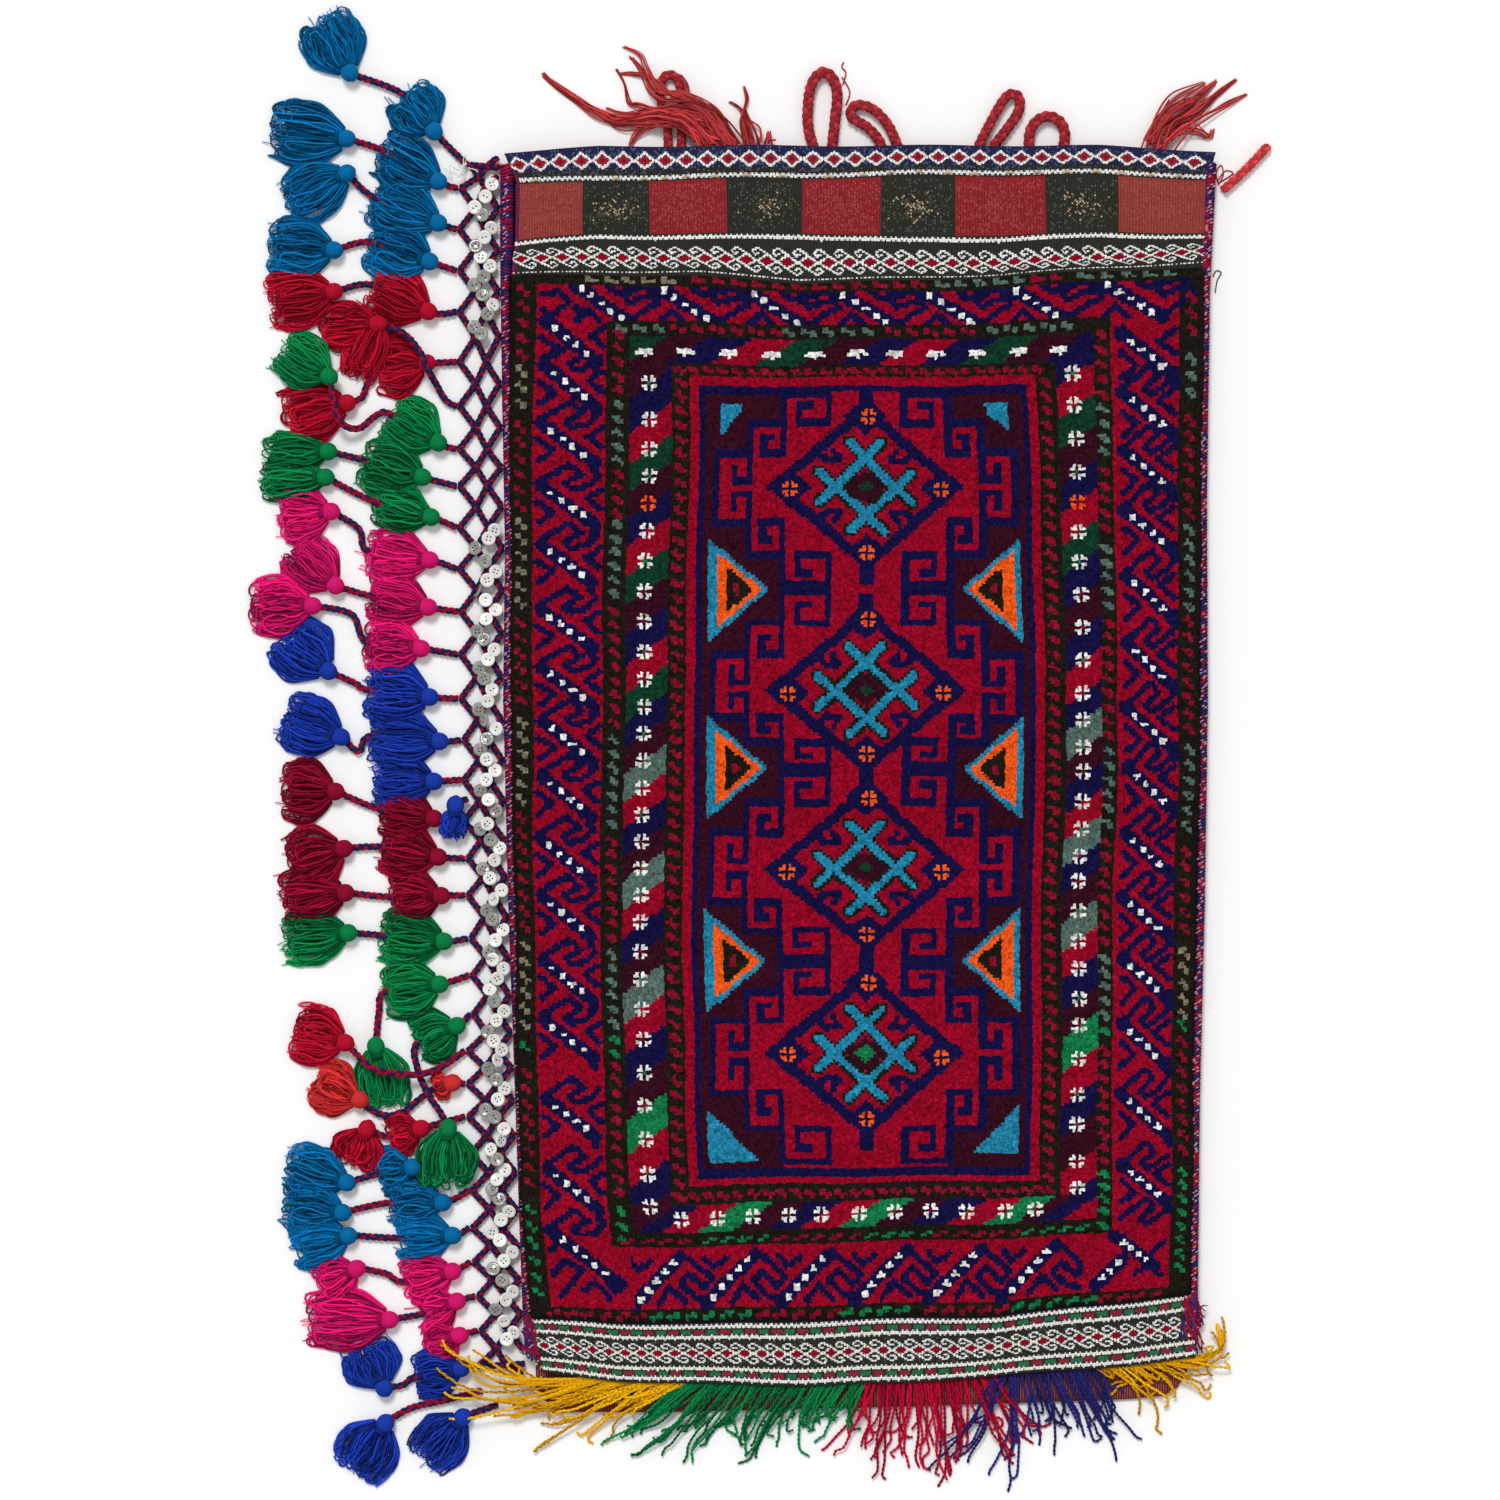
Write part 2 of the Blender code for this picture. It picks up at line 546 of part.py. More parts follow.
def build_front(collection):
    """Front panel: pile between two flatwoven ends, its patterns as fields of colour."""
    work = plan_mesh()
    colours = []
    for face in work.faces:
        middle = face.calc_center_median()
        colour = plan_colour(middle.x, middle.y)
        if colour not in colours:
            colours.append(colour)
        face.material_index = colours.index(colour)
    for vertex in work.verts:
        plan_x, plan_y = vertex.co.x, vertex.co.y
        x, y = plan_to_bag(plan_x, plan_y)
        vertex.co = Vector((x * MM, y * MM, front_height(plan_x, plan_y)))
    rim = [edge for edge in work.edges if edge.is_boundary]
    grown = bmesh.ops.extrude_edge_only(work, edges=rim)["geom"]
    for vertex in grown:
        if isinstance(vertex, bmesh.types.BMVert):
            vertex.co.z = FRONT_UNDERSIDE
    rim = [edge for edge in work.edges if edge.is_boundary]
    bmesh.ops.holes_fill(work, edges=rim, sides=0)
    bmesh.ops.recalc_face_normals(work, faces=work.faces)
    mesh = bpy.data.meshes.new("front_panel")
    work.to_mesh(mesh)
    work.free()
    add_object("front_panel", mesh, colours, collection)


def edge_points(edge_at, inset, low, high, count):
    """List points down a side edge of the bag, moved inwards by an inset."""
    heights = [high + (low - high) * step / count for step in range(count + 1)]
    return [(edge_at(y) + inset, y) for y in heights]


def build_back(collection):
    """Back panel: plain weave, longer than the front at its lower end."""
    left = edge_points(left_at, EDGE_INSET, -404, 430, 14)
    right = edge_points(right_at, -EDGE_INSET, -394, 434, 14)
    mouth = [(x, y - 0.4) for x, y in TOP_EDGE[1:-2]]
    outline = [*mouth, *right, *reversed(BACK_LOWER_EDGE), *left[::-1]]
    curve = outline_curve("back_panel", outline, 0.0, BACK_THICKNESS)
    back = add_object("back_panel", curve, ["red_brown"], collection)
    back.location.z = BACK_THICKNESS / 2


def build_bindings(collection):
    """Side bindings: overcast edges that close the bag's sides."""
    width = BINDING_WIDTH / MM
    outer = edge_points(left_at, 0.0, -399, 431, 14)
    inner = edge_points(left_at, width, -399, 436, 14)
    left = outline_curve("binding_left", [*outer, *reversed(inner)], 0.0, BINDING_HEIGHT)
    add_object("binding_left", left, ["braid"], collection).location.z = BINDING_HEIGHT / 2
    outer = edge_points(right_at, 0.0, -390, 433, 14)
    inner = edge_points(right_at, -width, -390, 436, 14)
    right = outline_curve("binding_right", [*outer, *reversed(inner)], 0.0, BINDING_HEIGHT)
    add_object("binding_right", right, ["braid"], collection).location.z = BINDING_HEIGHT / 2


def build_seam(collection):
    """Bottom seam: the row of stitches that joins the two panels below the pile."""
    xs = [-228, -222, -160, -117, -50, 9, 55, 100, 145, 191, 226, 231]
    outer = [(x, across(LOWER_EDGE, x, 0, 1) + 2.0) for x in xs]
    inner = [(x, y + SEAM_WIDTH / MM) for x, y in outer]
    low, high = BACK_THICKNESS + GAP, FRONT_UNDERSIDE - GAP
    seam = outline_curve("bottom_seam", [*outer, *reversed(inner)], low, high)
    add_object("bottom_seam", seam, ["ivory"], collection).location.z = (low + high) / 2


def net_points():
    """Return the net's crossing points in four columns, from the braids to the binding."""
    roots = [strand["root"] for strand in STRANDS if strand["root"][2] == 0][:-2]
    first = (roots[0][0], roots[0][1] + 10)
    last = (roots[-1][0], roots[-1][1] - 10)
    whole = [(x + NET_ROOT_CLEARANCE, y) for x, y in [root[:2] for root in roots]]
    ends = [(first[0] + NET_ROOT_CLEARANCE, first[1]), *whole,
            (last[0] + NET_ROOT_CLEARANCE, last[1])]
    halves = [((a[0] + b[0]) / 2, (a[1] + b[1]) / 2) for a, b in zip(ends, ends[1:])]

    def shifted(points, share):
        """Move points of the net towards the binding by a share of the net's width."""
        return [(x + (left_at(y) - NET_ATTACH_CLEARANCE - x) * share, y) for x, y in points]

    return [shifted(whole, NET_COLUMNS[0]), shifted(halves, NET_COLUMNS[1]),
            shifted(whole, NET_COLUMNS[2]), shifted(halves, NET_COLUMNS[3])]


def net_mesh():
    """Make the net as a sheet of diamonds turned into flat strands."""
    tips, inner, knots, anchors = net_points()
    work = bmesh.new()

    def points(places):
        """Add one column of points."""
        return [work.verts.new((x * MM, y * MM, 0.0)) for x, y in places]

    tips, inner, knots = points(tips), points(inner), points(knots)
    anchors = points(anchors[1:-1])
    for index, tip in enumerate(tips):
        work.faces.new((tip, inner[index + 1], knots[index], inner[index]))
    for index, anchor in enumerate(anchors):
        work.faces.new((inner[index + 1], knots[index + 1], anchor, knots[index]))
    bmesh.ops.recalc_face_normals(work, faces=work.faces)
    mesh = bpy.data.meshes.new("net")
    work.to_mesh(mesh)
    work.free()
    return mesh


def button_places():
    """List the centre of each button down the net, in millimetres."""
    tips, _, _, _ = net_points()
    places = []
    for top, count in BUTTON_ZONES:
        for index in range(count):
            y = top - index * BUTTON_SPACING
            tip_x = across(tips, y, 1, 0)
            share = BUTTON_ACROSS[index % len(BUTTON_ACROSS)]
            places.append((tip_x + (left_at(y) - tip_x) * share, y, index % 2))
    return places


def build_net(collection, cutters):
    """Button net: a braided lattice with its buttons sewn on."""
    net = add_object("button_net", net_mesh(), ["braid", "ivory"], collection)
    strands = net.modifiers.new("strands", "WIREFRAME")
    strands.thickness = NET_STRAND_WIDTH * MM
    strands.use_even_offset = False
    strands.use_boundary = True
    net.location.z = NET_STRAND_WIDTH * MM / 2 + 0.1 * MM
    work = bmesh.new()
    for x, y, odd in button_places():
        height = NET_STRAND_WIDTH + 0.2 + 0.63 * odd
        made = bmesh.ops.create_cone(work, cap_ends=True, segments=8,
                                     radius1=BUTTON_RADIUS * MM, radius2=BUTTON_RADIUS * MM,
                                     depth=BUTTON_THICKNESS * MM)["verts"]
        bmesh.ops.translate(work, verts=made, vec=(x * MM, y * MM, height * MM))
    for face in work.faces:
        face.material_index = 1
    discs = bpy.data.meshes.new("button_discs")
    work.to_mesh(discs)
    work.free()
    tool = add_object("button_discs", discs, ["braid", "ivory"], cutters)
    tool.hide_render = True
    tool.display_type = "WIRE"
    join = net.modifiers.new("buttons", "BOOLEAN")
    join.operation = "UNION"
    join.object = tool
    join.solver = "EXACT"
    join.use_self = True


def tassel_stations(before, tassel):
    """List the stations of one tassel: its neck, head, tie and skirt."""
    head, tip, half_width = Vector(tassel[0]), Vector(tassel[1]), tassel[2]
    coming = (head - Vector(before)).normalized()
    going = tip - head
    length = going.length
    going.normalize()
    head_width = min(HEAD_RADIUS, half_width)
    stations = [
        (head - coming * HEAD_RADIUS, BRAID_RADIUS, False),
        (head - coming * 2.6, head_width * 0.88, False),
        (head + going * 1.4, head_width, False),
        (head + going * 5.4, TIE_RADIUS, False),
    ]
    for share, width in ((0.34, 0.78), (0.66, 1.0), (1.0, 0.84)):
        stations.append((head + going * (5.4 + share * (length - 5.4)), half_width * width, True))
    return stations


def strand_stations(strand):
    """List a strand's stations (place, radius, is skirt) from the net outwards."""
    place = strand["root"]
    stations = [(Vector(place), BRAID_RADIUS, False)]
    if strand.get("inner"):
        stations += tassel_stations(place, strand["inner"])
        place = strand["inner"][1]
        if strand.get("outer"):
            onward = strand.get("via") or (strand["outer"][0],)
            away = (Vector(onward[0]) - Vector(place)).normalized()
            stations.append((Vector(place) + away * 0.5, BRAID_RADIUS, False))
    for via in strand.get("via") or ():
        stations.append((Vector(via), BRAID_RADIUS, False))
        place = via
    if strand.get("outer"):
        stations += tassel_stations(place, strand["outer"])
    return stations


def filled_in(stations, spacing=2.0):
    """Add stations between the given ones, for measuring distances."""
    dense = []
    for (place, radius, soft), (next_place, next_radius, next_soft) in zip(stations, stations[1:]):
        steps = max(1, round((next_place - place).length / spacing))
        for step in range(steps):
            share = step / steps
            dense.append((place.lerp(next_place, share),
                          radius + (next_radius - radius) * share, soft and next_soft))
    dense.append(stations[-1])
    return dense


def skirt_room(stations, others):
    """Narrow a strand's skirts so that they lie beside their neighbours and not in them."""
    fitted = []
    for place, radius, is_skirt in stations:
        if is_skirt:
            top = place.z + 2 * SKIRT_HALF_HEIGHT
            for other, other_radius, other_skirt in others:
                if other.z > top or other.z + 2 * min(other_radius, SKIRT_HALF_HEIGHT) < place.z:
                    continue
                apart = (other.xy - place.xy).length
                room = apart / 2 if other_skirt else apart - other_radius
                radius = min(radius, room - 0.5)
        fitted.append((place, max(radius, BRAID_RADIUS), is_skirt))
    return fitted


def build_strands(collection):
    """Tasselled braids that hang off the net, laid out flat."""
    all_stations = [strand_stations(strand) for strand in STRANDS]
    dense = [filled_in(stations) for stations in all_stations]
    for index, (strand, stations) in enumerate(zip(STRANDS, all_stations)):
        near = [station for other in range(max(0, index - 3), min(len(dense), index + 4))
                if other != index for station in dense[other]]
        fitted = skirt_room(stations, near)
        rings = [(place.x, place.y, place.z, radius) for place, radius, _ in fitted]
        name = f"tassel_strand_{index + 1:02d}"
        mesh = flattened_tube(name, rings, SKIRT_HALF_HEIGHT)
        mesh.shade_smooth()
        add_object(name, mesh, [strand["colour"]], collection)


def build_closures(collection):
    """Cords along the mouth: whole loops, one cut end and the unravelled ends."""
    routes = {**LOOPS, "cord_end_right": CORD_END}
    for name, (radius, route) in routes.items():
        stations = [(x, y, radius + 0.1, radius) for x, y in smooth_route(route, 2.0 * radius)]
        add_object(name, tube_curve(name, stations, 2), ["loop_red"], collection)
    for name, stations in FRAYED_ENDS.items():
        mesh = flattened_tube(name, stations, FRAYED_HEIGHT / 2)
        mesh.shade_smooth()
        add_object(name, mesh, ["loop_red"], collection)


def fringe_places(root, tip, tip_lift):
    """List the places down one lock of fringe, as it lies on the panel and what is beyond."""
    places = [(0.0, ON_PANEL)]
    if tip_lift > ON_PANEL:
        places += [(0.14, ON_PANEL), (0.32, tip_lift)]
    elif tip_lift < ON_PANEL:
        over = 0.0
        while over < 0.9:
            place = root.lerp(tip, over)
            if place.y < across(BACK_LOWER_EDGE, place.x, 0, 1) - 1.5:
                break
            over += 0.02
        places += [(over, ON_PANEL), (over + FRINGE_DROP_LENGTH / (tip - root).length, tip_lift)]
    else:
        places += [(0.33, ON_PANEL), (0.66, ON_PANEL)]
    places.append((1.0, tip_lift))
    return [(root.lerp(tip, share), lift) for share, lift in places]


def fringe_mesh(name, root_ends, tip_ends, tip_lifts):
    """Make one clump of fringe as a sheet from the lower seam to its tips."""
    rows = 3
    work = bmesh.new()
    bmesh.ops.create_grid(work, x_segments=FRINGE_COLUMNS, y_segments=rows, size=1.0)
    for vertex in work.verts:
        share = (vertex.co.x + 1) / 2
        row = round((1 - vertex.co.y) / 2 * rows)
        column = round(share * FRINGE_COLUMNS)
        root_x = root_ends[0] + share * (root_ends[1] - root_ends[0])
        root = Vector((root_x, across(LOWER_EDGE, root_x, 0, 1) - 0.8))
        tip = Vector(tip_ends[0]).lerp(Vector(tip_ends[1]), share)
        tip = root.lerp(tip, 0.88 if column % 2 else 1.0)
        tip_lift = tip_lifts[0] + (tip_lifts[1] - tip_lifts[0]) * share
        place, lift = fringe_places(root, tip, tip_lift)[row]
        vertex.co = Vector((place.x, place.y, lift)) * MM
    bmesh.ops.recalc_face_normals(work, faces=work.faces)
    if sum(face.normal.z for face in work.faces) < 0:
        bmesh.ops.reverse_faces(work, faces=work.faces)
    mesh = bpy.data.meshes.new(name)
    work.to_mesh(mesh)
    work.free()
    return mesh


def build_fringes(collection):
    """Clumps of yarn fringe sewn into the bottom seam."""
    for name, (colour, root_ends, tip_ends, tip_lifts) in FRINGES.items():
        mesh = fringe_mesh(name, root_ends, tip_ends, tip_lifts)
        clump = add_object(name, mesh, [colour], collection)
        yarn = clump.modifiers.new("yarn", "SOLIDIFY")
        yarn.thickness = FRINGE_THICKNESS * MM
        yarn.offset = 1.0


def main():
    """Build every piece of the bag."""
    global ROOT
    clear_scene()
    pieces = bpy.data.collections.new("pillow_bag")
    cutters = bpy.data.collections.new("cutters")
    bpy.context.scene.collection.children.link(pieces)
    bpy.context.scene.collection.children.link(cutters)
    ROOT = bpy.data.objects.new("pillow_bag", None)
    pieces.objects.link(ROOT)
    build_front(pieces)
    build_back(pieces)
    build_bindings(pieces)
    build_seam(pieces)
    build_net(pieces, cutters)
    build_strands(pieces)
    build_closures(pieces)
    build_fringes(pieces)


main()
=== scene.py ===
"""Looks of the pillow bag: pile face, woven ends, button net, tassels, cords and fringe."""
import logging
import math
from collections.abc import Callable, Iterable, Sequence
from dataclasses import dataclass
from enum import Enum

import bmesh
import bpy
import numpy as np
from mathutils import Euler, Matrix, Vector


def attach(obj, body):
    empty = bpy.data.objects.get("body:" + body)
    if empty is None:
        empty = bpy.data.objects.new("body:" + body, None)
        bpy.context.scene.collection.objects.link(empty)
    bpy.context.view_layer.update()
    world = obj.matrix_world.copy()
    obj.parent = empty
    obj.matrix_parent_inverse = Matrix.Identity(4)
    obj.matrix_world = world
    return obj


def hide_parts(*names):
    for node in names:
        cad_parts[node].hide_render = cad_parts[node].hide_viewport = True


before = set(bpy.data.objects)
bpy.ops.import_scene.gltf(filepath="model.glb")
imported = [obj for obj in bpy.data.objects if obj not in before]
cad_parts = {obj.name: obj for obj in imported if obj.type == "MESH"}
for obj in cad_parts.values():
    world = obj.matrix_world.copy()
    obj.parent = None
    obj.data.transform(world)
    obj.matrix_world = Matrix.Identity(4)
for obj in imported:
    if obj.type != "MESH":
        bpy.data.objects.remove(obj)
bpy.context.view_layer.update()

LOG = logging.getLogger("pillow_bag")
MM = 0.001
BODY = "root"
ATTRIBUTE = "Yarn"
Numbers = float | np.ndarray
Pair = tuple[float, float]

# A chart place is (across, down) in quarter knots of 0.7 mm, and the bag's middle is at this place
CHART_MIDDLE = (857.0, 780.0)
QUARTER_KNOT = 0.7
CHART_LEFT, CHART_RIGHT = 510.6, 1206.0
STITCHES_ACROSS = 464

# Heights above the floor in millimetres, as in the solids
FRONT_UNDERSIDE = 9.2
FLATWEAVE_THICKNESS = 3.0
PILE_RISE = 4.5
CROWN_RISE = 1.5
BINDING_HEIGHT = 12.6


class Yarn(Enum):
    """Dyed yarns of the weaving, as red, green and blue from 0 to 255."""

    OLIVE = (30, 26, 20)
    CRIMSON = (150, 6, 36)
    NAVY = (20, 16, 66)
    WINE = (54, 12, 30)
    TURQUOISE = (34, 132, 168)
    ORANGE = (252, 90, 24)
    WHITE = (238, 236, 230)
    RED_FLECK = (136, 14, 40)
    GREY_BEIGE = (122, 116, 96)
    GREY_GREEN = (84, 108, 100)
    GREEN = (20, 120, 70)
    DARK_GREEN = (16, 58, 38)
    BRICK = (142, 40, 46)
    BRICK_FADED = (146, 62, 56)
    CHARCOAL = (48, 48, 42)
    PALE_CHARCOAL = (92, 90, 80)
    HEM_NAVY = (38, 40, 74)
    PALE_NAVY = (92, 96, 128)
    BEIGE = (206, 176, 140)
    PALE_BRICK = (166, 74, 74)
    BAND_RED = (140, 40, 58)
    BAND_GREEN = (44, 108, 78)
    BAND_NAVY = (48, 34, 84)
    RED_BROWN = (120, 36, 46)


def linear(colour: Sequence[float]) -> tuple[float, float, float]:
    """Return the linear values of a colour given from 0 to 255."""
    shares = [value / 255 for value in colour]
    return tuple(s / 12.92 if s <= 0.04045 else ((s + 0.055) / 1.055) ** 2.4 for s in shares)


@dataclass(frozen=True)
class BagOutline:
    """The bag's sewn edges in millimetres, and how the flat plan of the weaving lies on them."""

    left: tuple = ((-232.5, -400), (-234.5, -364), (-239.4, -224), (-244.3, -84), (-247.8, 56),
                   (-246.5, 161), (-248.5, 266), (-250, 370), (-250, 436))
    right: tuple = ((240, -394), (238.7, -364), (240.1, -224), (243.6, -84), (245.7, 56),
                    (245, 196), (247.1, 343), (252, 436))
    top: tuple = ((-250, 437), (-230, 441), (-110, 442.4), (30, 443), (120, 443), (205, 441.7),
                  (244, 439.6), (253, 434))
    lower: tuple = ((-240, -402), (-222, -414.4), (-160, -422), (-117, -425.6), (9, -418.6),
                    (100, -413), (191, -402.5), (226, -397.6), (245, -394))
    back_lower: tuple = ((-240, -427), (-229, -443), (-145, -443), (40, -439), (200, -434),
                         (233, -431), (243, -412))
    plan_left: float = -242.5
    plan_right: float = 244.3
    plan_top: float = 443.0
    plan_bottom: float = -412.0
    pile_top: float = 349.3
    pile_bottom: float = -376.0
    inset: float = 7.5

    @staticmethod
    def read(edge: tuple, value: Numbers, key: int = 0) -> np.ndarray:
        """Read an edge where one of its coordinates, x unless key is 1, has the given values."""
        points = np.array(edge)
        return np.interp(value, points[:, key], points[:, 1 - key])

    def left_at(self, y: Numbers) -> np.ndarray:
        """Outer x of the left edge at y."""
        return self.read(self.left, y, 1)

    def right_at(self, y: Numbers) -> np.ndarray:
        """Outer x of the right edge at y."""
        return self.read(self.right, y, 1)

    def height(self, x: np.ndarray, y: np.ndarray) -> np.ndarray:
        """Return the height of the front's face.

        Args:
            x: Places across the flat plan.
            y: Places along it.

        Returns:
            The heights above the floor, in millimetres.
        """
        from_side = np.minimum(x - self.plan_left, self.plan_right - x) / 5.0
        inside = np.clip(from_side, 0, 1)
        pile = np.clip(np.minimum(self.pile_top - y, y - self.pile_bottom) / 4.0, 0, 1)
        across = np.sin(math.pi * (x - self.plan_left) / (self.plan_right - self.plan_left))
        along = np.sin(math.pi * (y - self.plan_bottom) / (self.plan_top - self.plan_bottom))
        waves = 0.35 * np.sin(x / 37.0 + y / 90.0) * np.sin(y / 61.0 - x / 150.0)
        base = FRONT_UNDERSIDE + FLATWEAVE_THICKNESS + CROWN_RISE * across * along + waves
        return base + inside * pile * PILE_RISE - (1 - inside) * 0.8


OUTLINE = BagOutline()


def plan_of_chart(across: Numbers, down: Numbers) -> tuple[Numbers, Numbers]:
    """Turn chart places into millimetres on the flat plan."""
    return (across - CHART_MIDDLE[0]) * QUARTER_KNOT, (CHART_MIDDLE[1] - down) * QUARTER_KNOT


@dataclass(frozen=True)
class ShiftTable:
    """How far the woven cloth has been pulled out of square, at a few places of the chart."""

    across: tuple[float, ...]
    down: tuple[float, ...]
    shifts: tuple[tuple[float, ...], ...]

    def at(self, across: np.ndarray, down: np.ndarray) -> np.ndarray:
        """Read the table between its entries.

        Args:
            across: Chart places across.
            down: Chart places down.

        Returns:
            The shift at each place.
        """
        columns, rows, table = np.array(self.across), np.array(self.down), np.array(self.shifts)
        column = np.clip(np.searchsorted(columns, across) - 1, 0, len(columns) - 2)
        row = np.clip(np.searchsorted(rows, down) - 1, 0, len(rows) - 2)
        along = np.clip((across - columns[column]) / (columns[column + 1] - columns[column]), 0, 1)
        below = np.clip((down - rows[row]) / (rows[row + 1] - rows[row]), 0, 1)
        upper = table[row, column] * (1 - along) + table[row, column + 1] * along
        lower = table[row + 1, column] * (1 - along) + table[row + 1, column + 1] * along
        return upper * (1 - below) + lower * below


SIDEWAYS = ShiftTable(
    across=(510.6, 555, 651, 866, 1080, 1129, 1206),
    down=(147, 178, 240, 281, 385, 500, 620, 760, 867, 980, 1106, 1201, 1317, 1382),
    shifts=((-7, -4, 0, 0, 0, 2, 9), (5, 1, 0, 0, 0, 0, 1), (5, 1, 0, 0, 0, 0, 1),
            (1, 4, -3, 0, -7, 0, 0), (-2, 1, 0, 0, -7, -1, -2), (-2, -3, -1.5, 0, -1.5, 1.5, -4),
            (-1, -2, -6, 0, 2.4, 2.5, -5), (0, -1, -6, 0, 5, 4, -5), (2, -4, -10, 0, -1, 0, -8),
            (4, 0, -9, 0, -0.5, -2, -11), (6, 2, -5.5, 0, -1.5, -1.7, -12),
            (10, 4.5, 0, 0, -3, -1.7, -12), (19, 17, 10, 0, -4, -4, -15),
            (34, 26, 14, 0, -4, -4, -11)))
UP_AND_DOWN = ShiftTable(
    across=(510.6, 600, 700, 800, 900, 1000, 1100, 1206),
    down=(147, 176, 239, 260, 276, 281, 296, 354, 420, 1150, 1213, 1275, 1320, 1374),
    shifts=((6, 0, -0.6, -0.9, -1.1, -1.1, -1, 5), (4, 3.5, 0, 0, -3, -3.5, -4, 1),
            (6, -1.5, -1, -2, 2, 1, -3, -1), (-0.5, -3, -0.5, 2.5, 4, 3, -1.5, -9),
            (-2, -4, -3.5, 4, 2.5, -0.5, -8, -13), (-5, -5, -4, 3, 1, -3, -9, -12),
            (-4, -3, 0, 3.5, 5, 2, -7, -11), (-2, -2, 0, 2, 1, 0, -4, -6), (0,) * 8, (0,) * 8,
            (0, 3, 5.5, 0, -2.5, -4, -9, -8), (6, 5, 2, 0, -2, -5, -10, -14),
            (1, 6, 7, 4, 1, -0.5, -12, -23), (-6, 2, 5, 6.5, 4, -3, -11, -21)))


def place(across: np.ndarray, down: np.ndarray) -> tuple[np.ndarray, np.ndarray]:
    """Carry chart places to the bag as it lies.

    Args:
        across: Chart places across.
        down: Chart places down.

    Returns:
        The same places on the bag, in millimetres.
    """
    wander = 0.8 * np.sin(down / 31.0 + across / 57.0), 0.8 * np.sin(across / 27.0 + down / 83.0)
    return plan_of_chart(across + SIDEWAYS.at(across, down) + wander[0],
                         down + UP_AND_DOWN.at(across, down) + wander[1])


